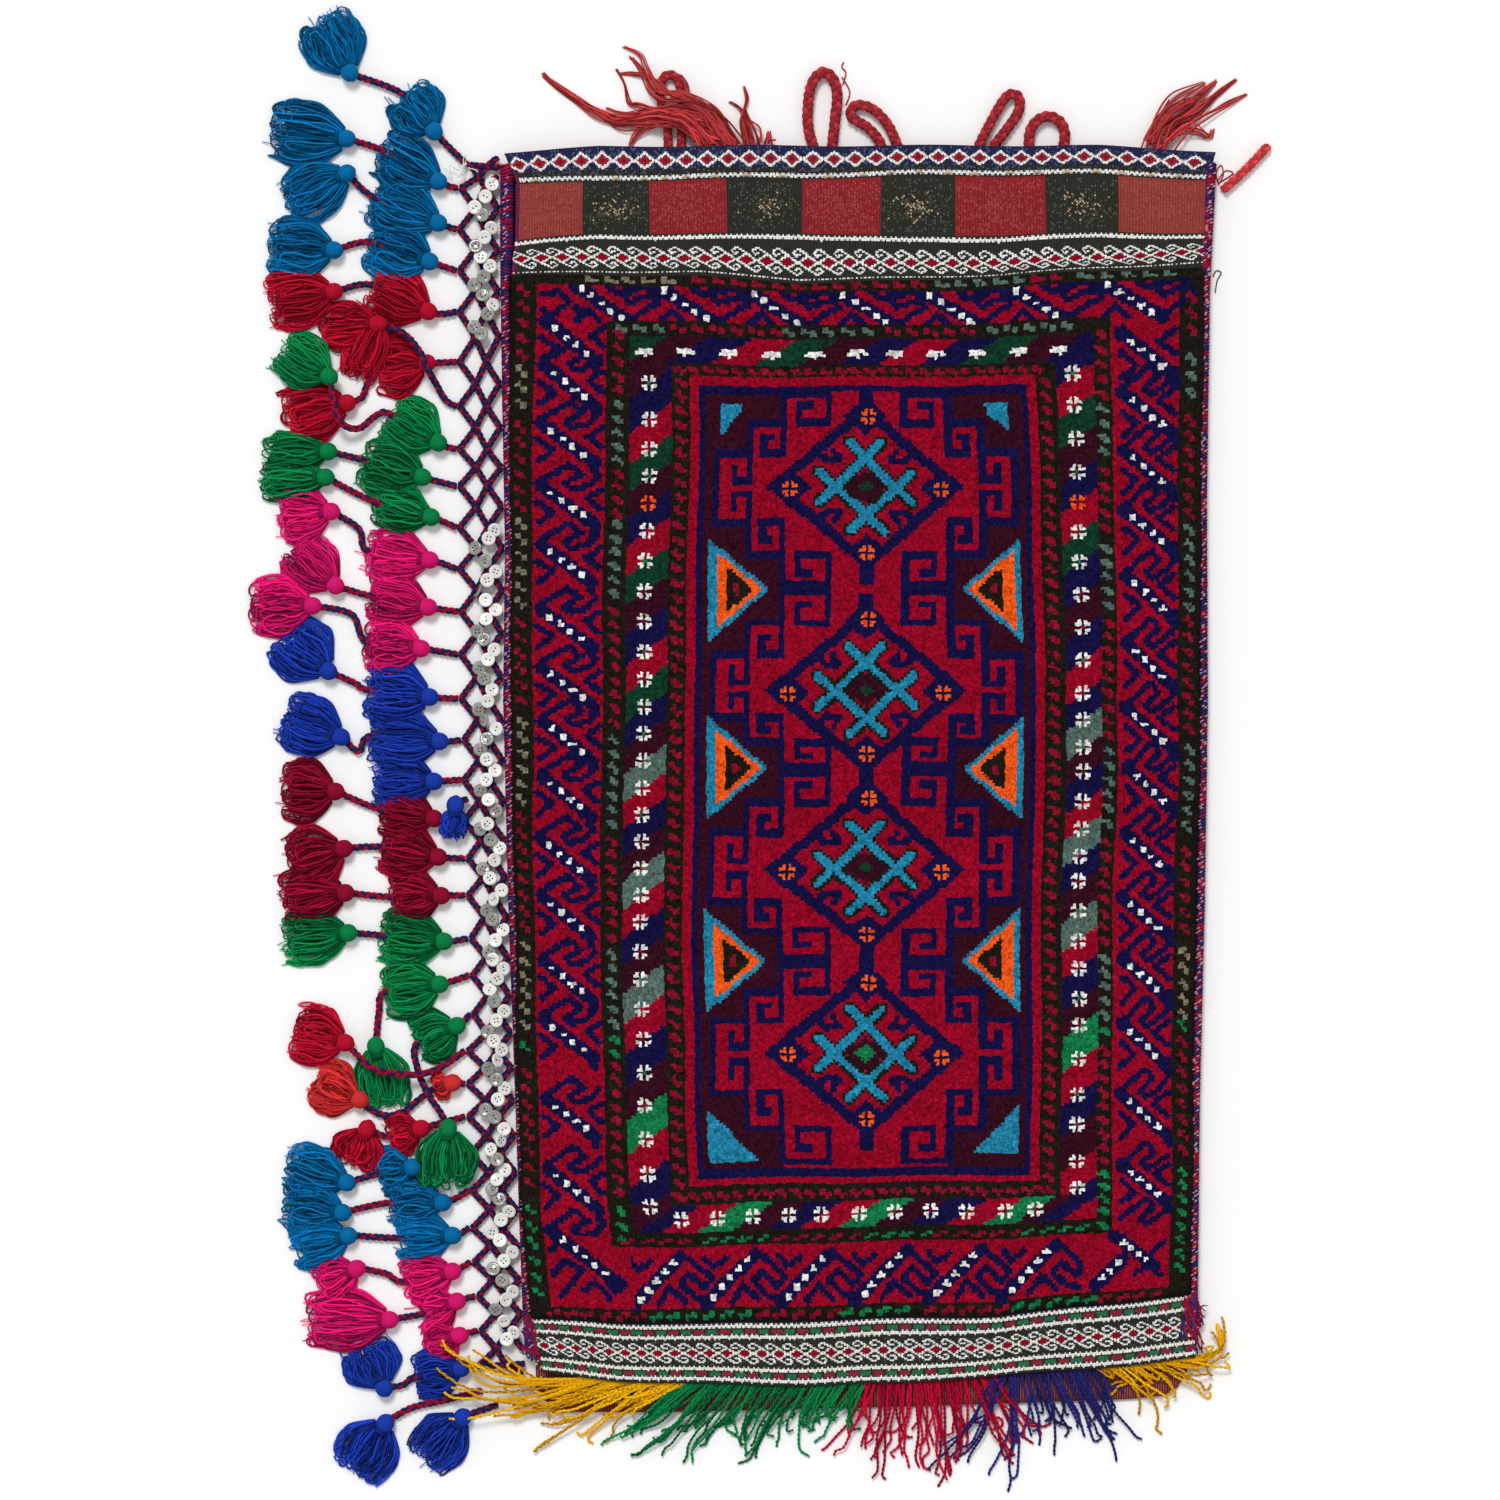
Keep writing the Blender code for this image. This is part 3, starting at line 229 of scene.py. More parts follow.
class Chart:
    """A weaver's chart, with one yarn for each knot or stitch."""

    def __init__(self, box: tuple[float, float, float, float], columns: int, rows: int,
                 ground: Yarn) -> None:
        """Start a chart in one yarn.

        Args:
            box: Left, top, right and bottom of the chart.
            columns: Knots across.
            rows: Knots down.
            ground: The yarn it starts in.
        """
        self.box = box
        self.columns = columns
        self.rows = rows
        self.yarns = list(Yarn)
        self.cells = np.full((rows, columns), self.yarns.index(ground), dtype=np.int16)
        left, top, right, bottom = box
        self.step = ((right - left) / columns, (bottom - top) / rows)
        self.x, self.y = np.meshgrid(left + (np.arange(columns) + 0.5) * self.step[0],
                                     top + (np.arange(rows) + 0.5) * self.step[1])

    def fill(self, mask: np.ndarray, yarn: Yarn) -> None:
        """Work every knot of a mask in one yarn."""
        self.cells[mask] = self.yarns.index(yarn)

    def rect(self, left: float, top: float, right: float, bottom: float, yarn: Yarn) -> None:
        """Work a rectangle."""
        self.fill((self.x > left) & (self.x < right) & (self.y > top) & (self.y < bottom), yarn)

    def rhombus(self, middle: Pair, half: Pair, yarn: Yarn) -> None:
        """Work a rhombus that stands on its corner."""
        away = abs(self.x - middle[0]) / half[0] + abs(self.y - middle[1]) / half[1]
        self.fill(away < 1, yarn)

    def polygon(self, points: Sequence[Pair], yarn: Yarn) -> None:
        """Work a polygon, by counting the edges that lie to the right of each knot.

        Args:
            points: Its corners in order.
            yarn: The yarn.
        """
        inside = np.zeros(self.x.shape, dtype=bool)
        for (x0, y0), (x1, y1) in zip(points, [*points[1:], points[0]]):
            if y0 == y1:
                continue
            spans = (self.y > min(y0, y1)) & (self.y <= max(y0, y1))
            cross = x0 + (self.y - y0) * (x1 - x0) / (y1 - y0)
            inside ^= spans & (cross > self.x)
        self.fill(inside, yarn)

    def stroke(self, points: Sequence[Pair], width: float, yarn: Yarn) -> None:
        """Work a line, square at its corners where it runs straight across or down.

        Args:
            points: The points it passes.
            width: Its width.
            yarn: The yarn.
        """
        mask = np.zeros(self.x.shape, dtype=bool)
        for (x0, y0), (x1, y1) in zip(points, points[1:]):
            length = (x1 - x0) ** 2 + (y1 - y0) ** 2
            share = np.clip(((self.x - x0) * (x1 - x0) + (self.y - y0) * (y1 - y0)) / length, 0, 1)
            off_x = abs(self.x - x0 - share * (x1 - x0))
            off_y = abs(self.y - y0 - share * (y1 - y0))
            straight = x0 == x1 or y0 == y1
            away = np.maximum(off_x, off_y) if straight else np.hypot(off_x, off_y)
            mask |= away <= width / 2
        self.fill(mask, yarn)

    def spot(self, middle: Pair, half: Pair, yarn: Yarn) -> None:
        """Work an oval spot."""
        away = ((self.x - middle[0]) / half[0]) ** 2 + ((self.y - middle[1]) / half[1]) ** 2
        self.fill(away < 1, yarn)

    def flower(self, middle: Pair, yarn: Yarn, heart: Yarn) -> None:
        """Work a flower of four petals of three knots each round one knot's heart.

        Args:
            middle: The flower's middle.
            yarn: Yarn of the petals.
            heart: Yarn of the heart.
        """
        column = int((middle[0] - self.box[0]) / self.step[0])
        row = int((middle[1] - self.box[1]) / self.step[1])
        for across, down in FLOWER:
            self.cells[row + down, column + across] = self.yarns.index(yarn)
        self.cells[row, column] = self.yarns.index(heart)

    def colours(self, seed: int, spread: float, rib_shade: float = 0.0) -> np.ndarray:
        """Return each knot's colour, a little lighter or darker than its dye.

        Args:
            seed: Seed of the differences.
            spread: How much single knots differ.
            rib_shade: How much every other column is darkened, as painted shade of the weave's
                ribbing.

        Returns:
            The colours, row by row.
        """
        rng = np.random.default_rng(seed)
        palette = np.array([linear(yarn.value) for yarn in self.yarns])
        found = palette[self.cells]
        knots = rng.normal(1.0, spread, self.cells.shape)
        rows = np.convolve(rng.normal(0, 1, self.rows + 8), np.ones(9) / 9, "valid")
        shade = np.clip(knots * (1 + 0.09 * rows[:, None]), 0.5, 1.7)
        # Painted shade of the weave's ribbing: every other column darker
        shade[:, ::2] *= 1 - rib_shade
        return np.clip(found * shade[..., None], 0, 1)


# A flower's petals in knots from its heart, and a cap's spots from a join of the top stripes
FLOWER = ((-1, -2), (1, -2), (-2, -1), (-1, -1), (1, -1), (2, -1),
          (-2, 1), (-1, 1), (1, 1), (2, 1), (-1, 2), (1, 2))
CAP = ((-6.2, 0.6), (-2.4, -1.8), (2.0, -2.2), (6.2, 0.4), (0.0, 1.8))
STRIPE_YARNS = {"w": Yarn.WINE, "n": Yarn.NAVY, "r": Yarn.CRIMSON, "g": Yarn.DARK_GREEN,
                "G": Yarn.GREEN, "s": Yarn.GREY_GREEN}
FLECK_YARNS = {"r": Yarn.RED_FLECK, "b": Yarn.GREY_BEIGE, "s": Yarn.GREY_GREEN, "G": Yarn.GREEN}


@dataclass(frozen=True)
class StripedSide:
    """One side of the striped border.

    It holds its joins, the marks of the stripes between them, its middle line, and which of its
    joins have an orange flower and which have none.
    """

    joins: tuple[float, ...]
    stripes: str
    middle: float
    orange: tuple[int, ...] = ()
    bare: tuple[int, ...] = ()


@dataclass(frozen=True)
class HookedSide:
    """One side of the hooked border. Its lines are given from a bar's first dot.

    The bars' places along the side end with the place that a further bar would have.
    """

    bars: tuple[float, ...]
    line: float
    step: Pair
    dots: int
    heads: tuple[Pair, Pair]
    meander: tuple[Pair, ...]
    arrows: tuple
    ends: tuple = ()


@dataclass(frozen=True)
class Guard:
    """A narrow stripe of slanting flecks, upright or across.

    Each run of flecks is its yarn's mark and the places where it starts and ends.
    """

    line: float
    step: float
    half: Pair
    runs: str
    across: bool = False


LEFT_STRIPES = StripedSide(
    (384.6, 419.8, 450.9, 478.1, 504.7, 533.2, 562.6, 592.1, 621.2, 650.8, 679, 707.3, 731.9,
     759.2, 786.9, 813, 840.7, 866.8, 895.6, 923.6, 952.2, 980.2, 1009.2, 1039.1, 1073.3, 1106.2,
     1139.2, 1171.4, 1201.1), "wnrgwnrgwnrgnwsrnwsrnwsrnwGrnw", 651.0, (4,))
RIGHT_STRIPES = StripedSide(
    (376.7, 407.1, 437.6, 472.3, 500.8, 532.2, 562.6, 596.3, 628.6, 660.8, 693.4, 720.2, 748.5,
     773.3, 801.8, 827.7, 855.2, 881.2, 910.6, 938.8, 965.8, 997.3, 1023.6, 1058.4, 1092.4,
     1124.2, 1161.7, 1192.8), "nrgwnrgnwnrnswnrsnwsrnwGrnwrn", 1080.0, (4,))
TOP_STRIPES = StripedSide((645.8, 687, 730.7, 772.2, 815, 856.6, 895.2, 937.6, 980.7, 1023,
                           1066.4), "gwnrgwnrngwn", 353.5)
LOWER_STRIPES = StripedSide((655, 679.4, 716, 752.4, 788.7, 821, 860, 895.6, 931.5, 969.2, 1005.2,
                             1037.4, 1058, 1085), "wnrGwnrGwnrGwnr", 1213.0, (), (0, 12, 13))
UPRIGHT_ENDS = ((7.5, ((-9, -13), (-8, -3))), (9.5, ((43, 29), (44, 40))))
LEFT_HOOKS = HookedSide(
    (332.3, 375.4, 431.1, 492.7, 551.9, 616.6, 675.4, 729.5, 784.2, 845.7, 903.9, 967.2, 1025.5,
     1105.2, 1174.6, 1236.6), 552.8, (10.9, 7.7), 4, ((-10, -8), (11, 9)),
    ((-11, -12), (4, -20), (18.5, -28.5), (31.5, -18.5), (14.5, -9.5), (21.5, -3.5), (37.5, -7),
     (48, -17)),
    (((-13.7, 9), (3, 19), (-12, 30)), ((50.4, -2.5), (37, 5.8), (49.6, 16.7))), UPRIGHT_ENDS)
RIGHT_HOOKS = HookedSide(
    (346.5, 402.1, 458.9, 518.1, 584.5, 651.7, 715.9, 775.3, 840.2, 903.7, 965.6, 1031.3, 1101.6,
     1175.0, 1237.0), 1132.0, (10.1, 8.1), 4, ((-10, -8), (11, 9)),
    ((-9.4, -9.4), (-0.9, -18), (14, -31), (20, -32), (26, -23), (11, -11), (19, -5), (29, -11),
     (41.8, -21)),
    (((-10, 11), (3.5, 22.5), (-10, 35)), ((43, -10), (26, 1.3), (43, 13))), UPRIGHT_ENDS)
TOP_HOOKS = HookedSide(
    (578.8, 665.9, 755.2, 844.4, 931.6, 1019.9, 1109.8, 1199.0), 293, (10.5, 6.8), 5,
    ((-8, -4), (12, 5)),
    ((-8, -4), (-20, -3.5), (-33, 0), (-42, 5.5), (-35, 11.7), (-23, 6.7), (-13, 4), (-7, 7),
     (-5, 12), (-15.6, 16.7), (-24.6, 23), (-30, 27)),
    (((27.4, -3), (38.7, 4), (53.7, -3.4)), ((-3.8, 30), (7.4, 19.5), (19.7, 31))))
LOWER_HOOKS = HookedSide(
    (631.9, 709.5, 786.1, 862.9, 937.7, 1013.0, 1090.0), 1293, (8.9, -8.7), 5, ((-9, 6), (9, -6)),
    ((-31, -39), (-23.5, -37.5), (-2.5, -18), (-10.5, -9), (-26, -23), (-35, -14), (-21, -1),
     (-8, 3)),
    (((18.5, 4.5), (30.5, -10.5), (45.5, 2.5)), ((-8.5, -38.5), (-0.5, -28.5), (12.5, -37.5))))
CORNER_LINES = (
    ((540, 1268), (556, 1256), (572, 1264), (560, 1278), (546, 1290)),
    ((572, 1284), (584, 1276), (598, 1292)), ((541, 1246), (549, 1240)),
    ((1140, 1284), (1154, 1276), (1170, 1288)), ((1158, 1262), (1174, 1250)),
    ((541, 300), (556, 296), (566, 308), (552, 316)), ((541, 314), (548, 322)),
    ((572, 312), (590, 318)))
GUARDS = (
    Guard(522.5, 15.6, (2.5, 2.4), "r296-364 b374-420 r428-512 b524-610 r622-708 b722-806 "
          "r818-932 b946-1030 G1046-1060 r1072-1196 G1208-1300"),
    Guard(1192.0, 15.4, (2.6, 2.6), "r308-352 s366-408 r422-516 s530-608 r621-736 s750-840 "
          "r852-938 b953-1016 G1025-1033 r1041-1160 G1173-1284"),
    Guard(619.5, 13.8, (2.2, 1.9), "r336-396 s406-464 r474-518 s526-600 r612-732 s740-832 "
          "r840-946 s954-1030 G1040-1054 r1066-1196 G1208-1236"),
    Guard(1105.0, 14.0, (2.2, 1.9), "r340-398 s410-458 r472-541 s550-616 r624-742 s752-832 "
          "r842-948 s958-1022 G1031-1040 r1050-1166 G1178-1236"),
    Guard(330.5, 19.5, (3.6, 1.3), "s621-668 r680-784 s789-886 r893-988 s996-1092", True),
    Guard(1236.0, 18.8, (3.6, -1.4), "r624-696 G706-768 r780-858 G871-930 r942-1018 G1029-1104",
          True),
    Guard(1309.0, 18.6, (3.6, -1.3), "r536-640 G647-744 r758-836 G846-918 r930-1010 G1020-1096 "
          "r1108-1180", True),
    Guard(284.5, 20.0, (3.6, 1.0), "b590-690 r700-930 s943-1030 r1042-1080 s1090-1190", True),
    Guard(681, 14.2, (2.2, 1.9), "r384-1196"), Guard(1051, 14.2, (2.2, 1.9), "r384-1196"),
    Guard(371.5, 14.5, (2.6, 1.3), "r680-1056", True),
    Guard(1191.5, 14.5, (2.6, 1.3), "r680-1056", True))


class PileChart(Chart):
    """The knotted face: guards, hooked border, striped border and a field of four diamonds."""

    MIDDLE = 866.0
    HOOK, BAR, KEY = 6.8, 13.6, 7.6
    DOT, FLECK, CAP_SPOT = (3.6, 2.8), (3.7, 2.9), (3.1, 2.7)
    SIDE_SLANT, END_SLANT = 0.73, 1.6
    UNITS = ((391, 487, 590), (590, 690, 768), (768, 868, 960), (960, 1052, 1166))

    def __init__(self) -> None:
        """Work the whole face."""
        super().__init__((CHART_LEFT, 281.0, CHART_RIGHT, 1317.1), 232, 345, Yarn.OLIVE)
        self.rect(534.5, 284, 1180, 1302, Yarn.CRIMSON)
        self.main_border()
        self.rect(510, 280, 1206, 289.5, Yarn.OLIVE)
        self.rect(606, 323, 1112, 1243, Yarn.OLIVE)
        self.striped_border()
        self.rect(671, 365, 1062, 1200, Yarn.OLIVE)
        for guard in GUARDS:
            self.flecks(guard)
        self.rect(690, 378, 1042, 1183, Yarn.CRIMSON)
        self.rect(699, 386, 1033, 1175, Yarn.NAVY)
        self.rect(706, 394, 1026, 1167, Yarn.WINE)
        self.field()

    def bar(self, first: Pair, step: Pair, count: int, heads: tuple[Pair, Pair]) -> None:
        """Work a dark diagonal bar with its row of white dots.

        Args:
            first: Place of the first dot.
            step: From one dot to the next.
            count: Number of dots.
            heads: How far the bar runs on beyond its first and its last dot.
        """
        dots = [(first[0] + step[0] * turn, first[1] + step[1] * turn) for turn in range(count)]
        ends = [(dot[0] + head[0], dot[1] + head[1])
                for dot, head in zip((dots[0], dots[-1]), heads)]
        self.stroke(ends, self.BAR, Yarn.NAVY)
        for dot in dots:
            self.spot(dot, self.DOT, Yarn.WHITE)

    def dark_lines(self, start: Pair, lines: Iterable, width: float = HOOK) -> None:
        """Work dark lines.

        Args:
            start: Where the lines' points are given from.
            lines: The lines.
            width: Their width.
        """
        for line in lines:
            self.stroke([(start[0] + across, start[1] + down) for across, down in line], width,
                        Yarn.NAVY)

    def main_border(self) -> None:
        """Work the hooked border, side by side, and then its corners."""
        for side in (LEFT_HOOKS, RIGHT_HOOKS, TOP_HOOKS, LOWER_HOOKS):
            firsts = [(side.line, bar) if side.ends else (bar, side.line) for bar in side.bars]
            for first, following in zip(firsts, firsts[1:]):
                self.dark_lines(following, (side.meander,))
                self.dark_lines(first, side.arrows)
                self.bar(first, side.step, side.dots, side.heads)
                for width, end in side.ends:
                    self.dark_lines(first, (end,), width)
        self.rect(534.5, 1232, 625, 1302, Yarn.CRIMSON)
        self.rect(1085, 1238, 1180, 1302, Yarn.CRIMSON)
        self.bar((556.5, 1237), (10, 7.6), 5, ((-14, -10), (9, 8)))
        self.rhombus((606, 1278), (14, 12), Yarn.NAVY)
        self.bar((1127, 1252), (8, 5.5), 4, ((-9, -7), (12, 9)))
        self.bar((1106, 1288), (8, -8), 3, ((-7, 7), (4, -4)))
        self.dark_lines((0, 0), CORNER_LINES)

    def flecks(self, guard: Guard) -> None:
        """Work a guard's flecks, each a small slanting mark of two touching spots.

        Args:
            guard: The guard.
        """
        for run in guard.runs.split():
            start, end = map(float, run[1:].split("-"))
            for along in np.arange(start, end, guard.step):
                across, down = (along, guard.line) if guard.across else (guard.line, along)
                for side in (-1, 1):
                    self.spot((across + side * guard.half[0], down + side * guard.half[1]),
                              self.FLECK, FLECK_YARNS[run[0]])

    def striped_border(self) -> None:
        """Work the border of slanting stripes, with a small flower or cap on each join."""
        ring = (self.x > 631) & (self.x < 1098) & (self.y > 337) & (self.y < 1228)
        for side, part in ((LEFT_STRIPES, self.x < self.MIDDLE),
                           (RIGHT_STRIPES, self.x >= self.MIDDLE),
                           (TOP_STRIPES, self.y < 367), (LOWER_STRIPES, self.y > 1199)):
            if side in (LEFT_STRIPES, RIGHT_STRIPES):
                level = self.y + self.SIDE_SLANT * (self.x - side.middle)
            else:
                level = self.x + self.END_SLANT * (self.y - side.middle)
            stripe = np.searchsorted(side.joins, level)
            for index, mark in enumerate(side.stripes):
                self.fill(ring & part & (stripe == index), STRIPE_YARNS[mark])
        hearts = (Yarn.GREEN, Yarn.CRIMSON, Yarn.CRIMSON)
        for side in (LEFT_STRIPES, RIGHT_STRIPES, LOWER_STRIPES):
            for index, join in enumerate(side.joins):
                if index not in side.bare:
                    middle = (join, side.middle) if side is LOWER_STRIPES else (side.middle, join)
                    self.flower(middle, Yarn.ORANGE if index in side.orange else Yarn.WHITE,
                                hearts[index % 3])
        for across in TOP_STRIPES.joins:
            for aside, down in CAP:
                self.spot((across + aside, TOP_STRIPES.middle + down), self.CAP_SPOT, Yarn.WHITE)

    def field(self) -> None:
        """Work the wine field with its stepped crimson column."""
        for unit in self.UNITS:
            self.column(unit)
        for unit in self.UNITS:
            self.medallion(unit)
        for upper, lower in zip(self.UNITS, self.UNITS[1:]):
            self.side_triangles((upper[2] + lower[0]) / 2)
        self.polygon(((719, 403), (742, 404), (740, 414), (721, 434)), Yarn.TURQUOISE)
        self.polygon(((1012, 403), (988, 404), (990, 414), (1010, 432)), Yarn.TURQUOISE)
        self.polygon(((711, 1108), (711, 1160), (760, 1160)), Yarn.TURQUOISE)
        self.polygon(((1021, 1102), (1021, 1152), (974, 1152)), Yarn.TURQUOISE)

    def column(self, unit: tuple[float, float, float]) -> None:
        """Work one stepped length of the crimson column with its key-shaped hooks.

        Args:
            unit: Top, middle and bottom of the length.
        """
        top, centre, bottom = unit

        def down(share: float) -> float:
            """Return the place of a share of the unit's height above or below its middle."""
            return centre + share * ((centre - top) if share < 0 else (bottom - centre))

        for half, share in ((83, 1.0), (116, 0.667), (149, 0.354)):
            self.rect(self.MIDDLE - half, down(-share), self.MIDDLE + half, down(share),
                      Yarn.CRIMSON)
        lines = (((83, -0.96), (83, -0.354), (102, -0.354), (102, -0.515), (95, -0.515)),
                 ((83, -0.667), (116, -0.667), (116, -0.07), (131, -0.07), (131, -0.21)),
                 ((116, -0.354), (149, -0.354), (149, 0.0)),
                 ((83, -0.96), (38, -0.96), (38, -0.667), (67, -0.667), (67, -0.84), (56, -0.84)))
        for side in (-1, 1):
            for upright in (1, -1):
                for line in lines:
                    self.stroke([(self.MIDDLE + side * away, down(upright * share))
                                 for away, share in line], self.KEY, Yarn.NAVY)

    def medallion(self, unit: tuple[float, float, float]) -> None:
        """Work one diamond with its flowers, its crossed bars and its inner hooks.

        Args:
            unit: Top, middle and bottom of its length of the column.
        """
        middle, centre, reach = self.MIDDLE, unit[1], 79
        self.rect(middle - 8.5, centre - reach - 18, middle + 8.5, centre - reach + 8, Yarn.NAVY)
        self.rect(middle - 8.5, centre + reach - 8, middle + 8.5, centre + reach + 18, Yarn.NAVY)
        self.rhombus((middle, centre), (98, reach + 5), Yarn.NAVY)
        self.rhombus((middle, centre), (81, reach - 9), Yarn.CRIMSON)
        for across, down in ((0, -70), (0, 65), (-75, 2), (75, 2)):
            self.rhombus((middle + across, centre + down), (22, 19), Yarn.NAVY)
        for side in (-1, 1):
            for upright in (-1, 1):
                for width, line in ((7.2, ((50, 35), (38, 25), (25, 27))),
                                    (6.0, ((27, 27), (32, 36)))):
                    self.dark_lines((middle, centre), ([(side * across, upright * down)
                                                        for across, down in line],), width)
        for width, yarn in ((13.6, Yarn.OLIVE), (7.8, Yarn.TURQUOISE)):
            for across, down, to_across, to_down in ((-16, -44, 46, 16), (-46, -14, 17, 44),
                                                     (16, -44, -46, 16), (46, -14, -17, 44)):
                self.stroke(((middle + across, centre + down),
                             (middle + to_across, centre + to_down)), width, yarn)
        self.rhombus((middle, centre), (21, 17), Yarn.WINE)
        last = unit is self.UNITS[-1]
        self.rhombus((middle, centre), (11, 9) if last else (7, 5.5),
                     Yarn.GREEN if last else Yarn.DARK_GREEN)
        for across, down in ((2, -70), (1, 65), (-74, 3), (76, 4)):
            self.flower((middle + across, centre + down), Yarn.ORANGE, Yarn.OLIVE)

    def side_triangles(self, row: float) -> None:
        """Work the pair of side triangles that point to the column.

        Args:
            row: Their middle line.
        """
        for side in (-1, 1):
            for base, tip, half, yarn in ((155, 96, 53, Yarn.TURQUOISE),
                                          (147, 102, 39, Yarn.ORANGE), (136, 111, 23, Yarn.OLIVE)):
                foot = self.MIDDLE + side * base
                self.polygon(((foot, row - half), (self.MIDDLE + side * tip, row),
                              (foot, row + half)), yarn)
            self.spot((self.MIDDLE + side * 127, row), (4.0, 5.0), Yarn.RED_FLECK)


class FlatweaveChart(Chart):
    """Lines and figures that both flatwoven ends share."""

    def zigzag(self, down: float, period: float = 5.2, swing: float = 2.0) -> None:
        """Work a fine white zigzag along the band."""
        wave = abs(((self.x / period) % 1) - 0.5) * 2 * swing
        self.fill(abs(self.y - down - wave + swing / 2) < 1.6, Yarn.WHITE)

    def sparks(self, box: tuple[float, float, float, float], share: Numbers, yarn: Yarn,
               seed: int) -> None:
        """Let the warp show in single stitches, at every other place of a part of the band.

        Args:
            box: Left, top, right and bottom of the part.
            share: Share of the places where it shows.
            yarn: The warp's yarn.
            seed: Seed of the places.
        """
        rng = np.random.default_rng(seed)
        inside = (self.x > box[0]) & (self.x < box[2]) & (self.y > box[1]) & (self.y < box[3])
        places = (np.arange(self.columns)[None, :] + np.arange(self.rows)[:, None]) % 2 == 0
        self.fill(inside & places & (rng.random(self.x.shape) < share), yarn)

    def hooked_diamonds(self, down: float, start: float, step: float, size: float = 1.0) -> None:
        """Work a row of small diamonds joined by crossing lines that end in hooks.

        Args:
            down: The row's middle line.
            start: Middle of the first diamond.
            step: From one diamond to the next.
            size: Size of the figures, where 1 is the upper band's.
        """
        hook = ((0, -6.0), (-5.2, -8.8), (-10.2, -11.4), (-15.2, -8.4), (-12.4, -5.4), (-8.4, -6.4))
        for across in np.arange(start, CHART_RIGHT, step):
            self.rhombus((across, down), (step / 2 + 1.2, 7.0 * size), Yarn.WHITE)
            self.rhombus((across, down), (step / 2 - 2.2, 4.8 * size), Yarn.CHARCOAL)
            self.rhombus((across, down), (step / 2 - 3.8, 4.3 * size), Yarn.CRIMSON)
            for turn in (1, -1):
                self.stroke([(across + turn * size * a, down + turn * size * b) for a, b in hook],
                            1.7, Yarn.WHITE)


class TopBandChart(FlatweaveChart):
    """The flatwoven top: hem, tapestry squares and the band of hooked diamonds."""

    EDGES = (582.0, 650.0, 727.0, 802.0, 881.0, 955.0, 1045.0, 1118.0)

    def __init__(self) -> None:
        """Work the band from the hem down."""
        super().__init__((CHART_LEFT, 147.1, CHART_RIGHT, 281.0), STITCHES_ACROSS, 90,
                         Yarn.CHARCOAL)
        self.rect(500, 140, 1210, 178, Yarn.HEM_NAVY)
        self.rect(500, 168, 1210, 174, Yarn.CHARCOAL)
        self.sparks((500, 149, 1210, 175), 0.24, Yarn.PALE_NAVY, 3)
        for across in np.arange(520.0, CHART_RIGHT, 20.9):
            self.rhombus((across, 160), (11.4, 8.6), Yarn.WHITE)
            self.rhombus((across, 160), (7.6, 5.8), Yarn.BAND_RED)
            self.rhombus((across, 160), (2.5, 2.4), Yarn.CRIMSON)
        self.zigzag(176)
        self.squares()
        for box in ((500, 166, 515.5, 284), (1203.5, 172, 1210, 284)):
            self.rect(*box, Yarn.BAND_NAVY)
            self.sparks(box, 0.95, Yarn.BAND_RED, 80)
        self.zigzag(239)
        self.hooked_diamonds(260, 519.0, 20.7)
        for across in np.arange(512.0, CHART_RIGHT, 4.2):
            self.rect(across, 275, across + 2.2, 277, Yarn.WHITE)

    def squares(self) -> None:
        """Work the tapestry squares, brick and charcoal in turn, worn pale in their middles."""
        bounds = (505.0, *self.EDGES, 1210.0)
        for index, (left, right) in enumerate(zip(bounds, bounds[1:])):
            last = index in (0, len(bounds) - 2)
            brick = Yarn.BRICK_FADED if last else Yarn.BRICK
            self.rect(left, 180, right, 235, Yarn.CHARCOAL if index % 2 else brick)
            middle = (left + right) / 2
            worn = np.exp(-((self.x - middle) / 20) ** 2 - ((self.y - 209) / 15) ** 2)
            box = (left + 2, 183, right - 2, 232)
            if index % 2:
                self.sparks(box, 0.14 + 0.26 * worn, Yarn.PALE_CHARCOAL, 20 + index)
                self.sparks(box, 0.34 * worn ** 2, Yarn.BEIGE, 40 + index)
            else:
                self.sparks(box, 0.30 + 0.3 * worn, Yarn.PALE_BRICK, 60 + index)


class LowerBandChart(FlatweaveChart):
    """The flatwoven end below the pile, in rows of zigzags and hooked diamonds."""

    def __init__(self) -> None:
        """Work the band from the pile down."""
        super().__init__((CHART_LEFT, 1316.1, CHART_RIGHT, 1378.6), STITCHES_ACROSS, 42,
                         Yarn.CHARCOAL)
        self.rect(500, 1310, 1210, 1318, Yarn.HEM_NAVY)
        self.sparks((500, 1320, 1210, 1376), 0.12, Yarn.PALE_CHARCOAL, 4)
        for down in (1320.0, 1331.0, 1363.5, 1374.0):
            self.zigzag(down)
        for low in (1323.5, 1366.8):
            for index, across in enumerate(np.arange(512.0, CHART_RIGHT, 13.4)):
                self.rect(across, low, across + 10.6, low + 4.6,
                          Yarn.BAND_RED if index % 2 else Yarn.BAND_GREEN)
        self.hooked_diamonds(1347.4, 519.0, 18.2, 0.9)


def set_sockets(node: bpy.types.Node, values: dict) -> None:
    """Set sockets of a node by their names."""
    for name, value in values.items():
        node.inputs[name].default_value = value


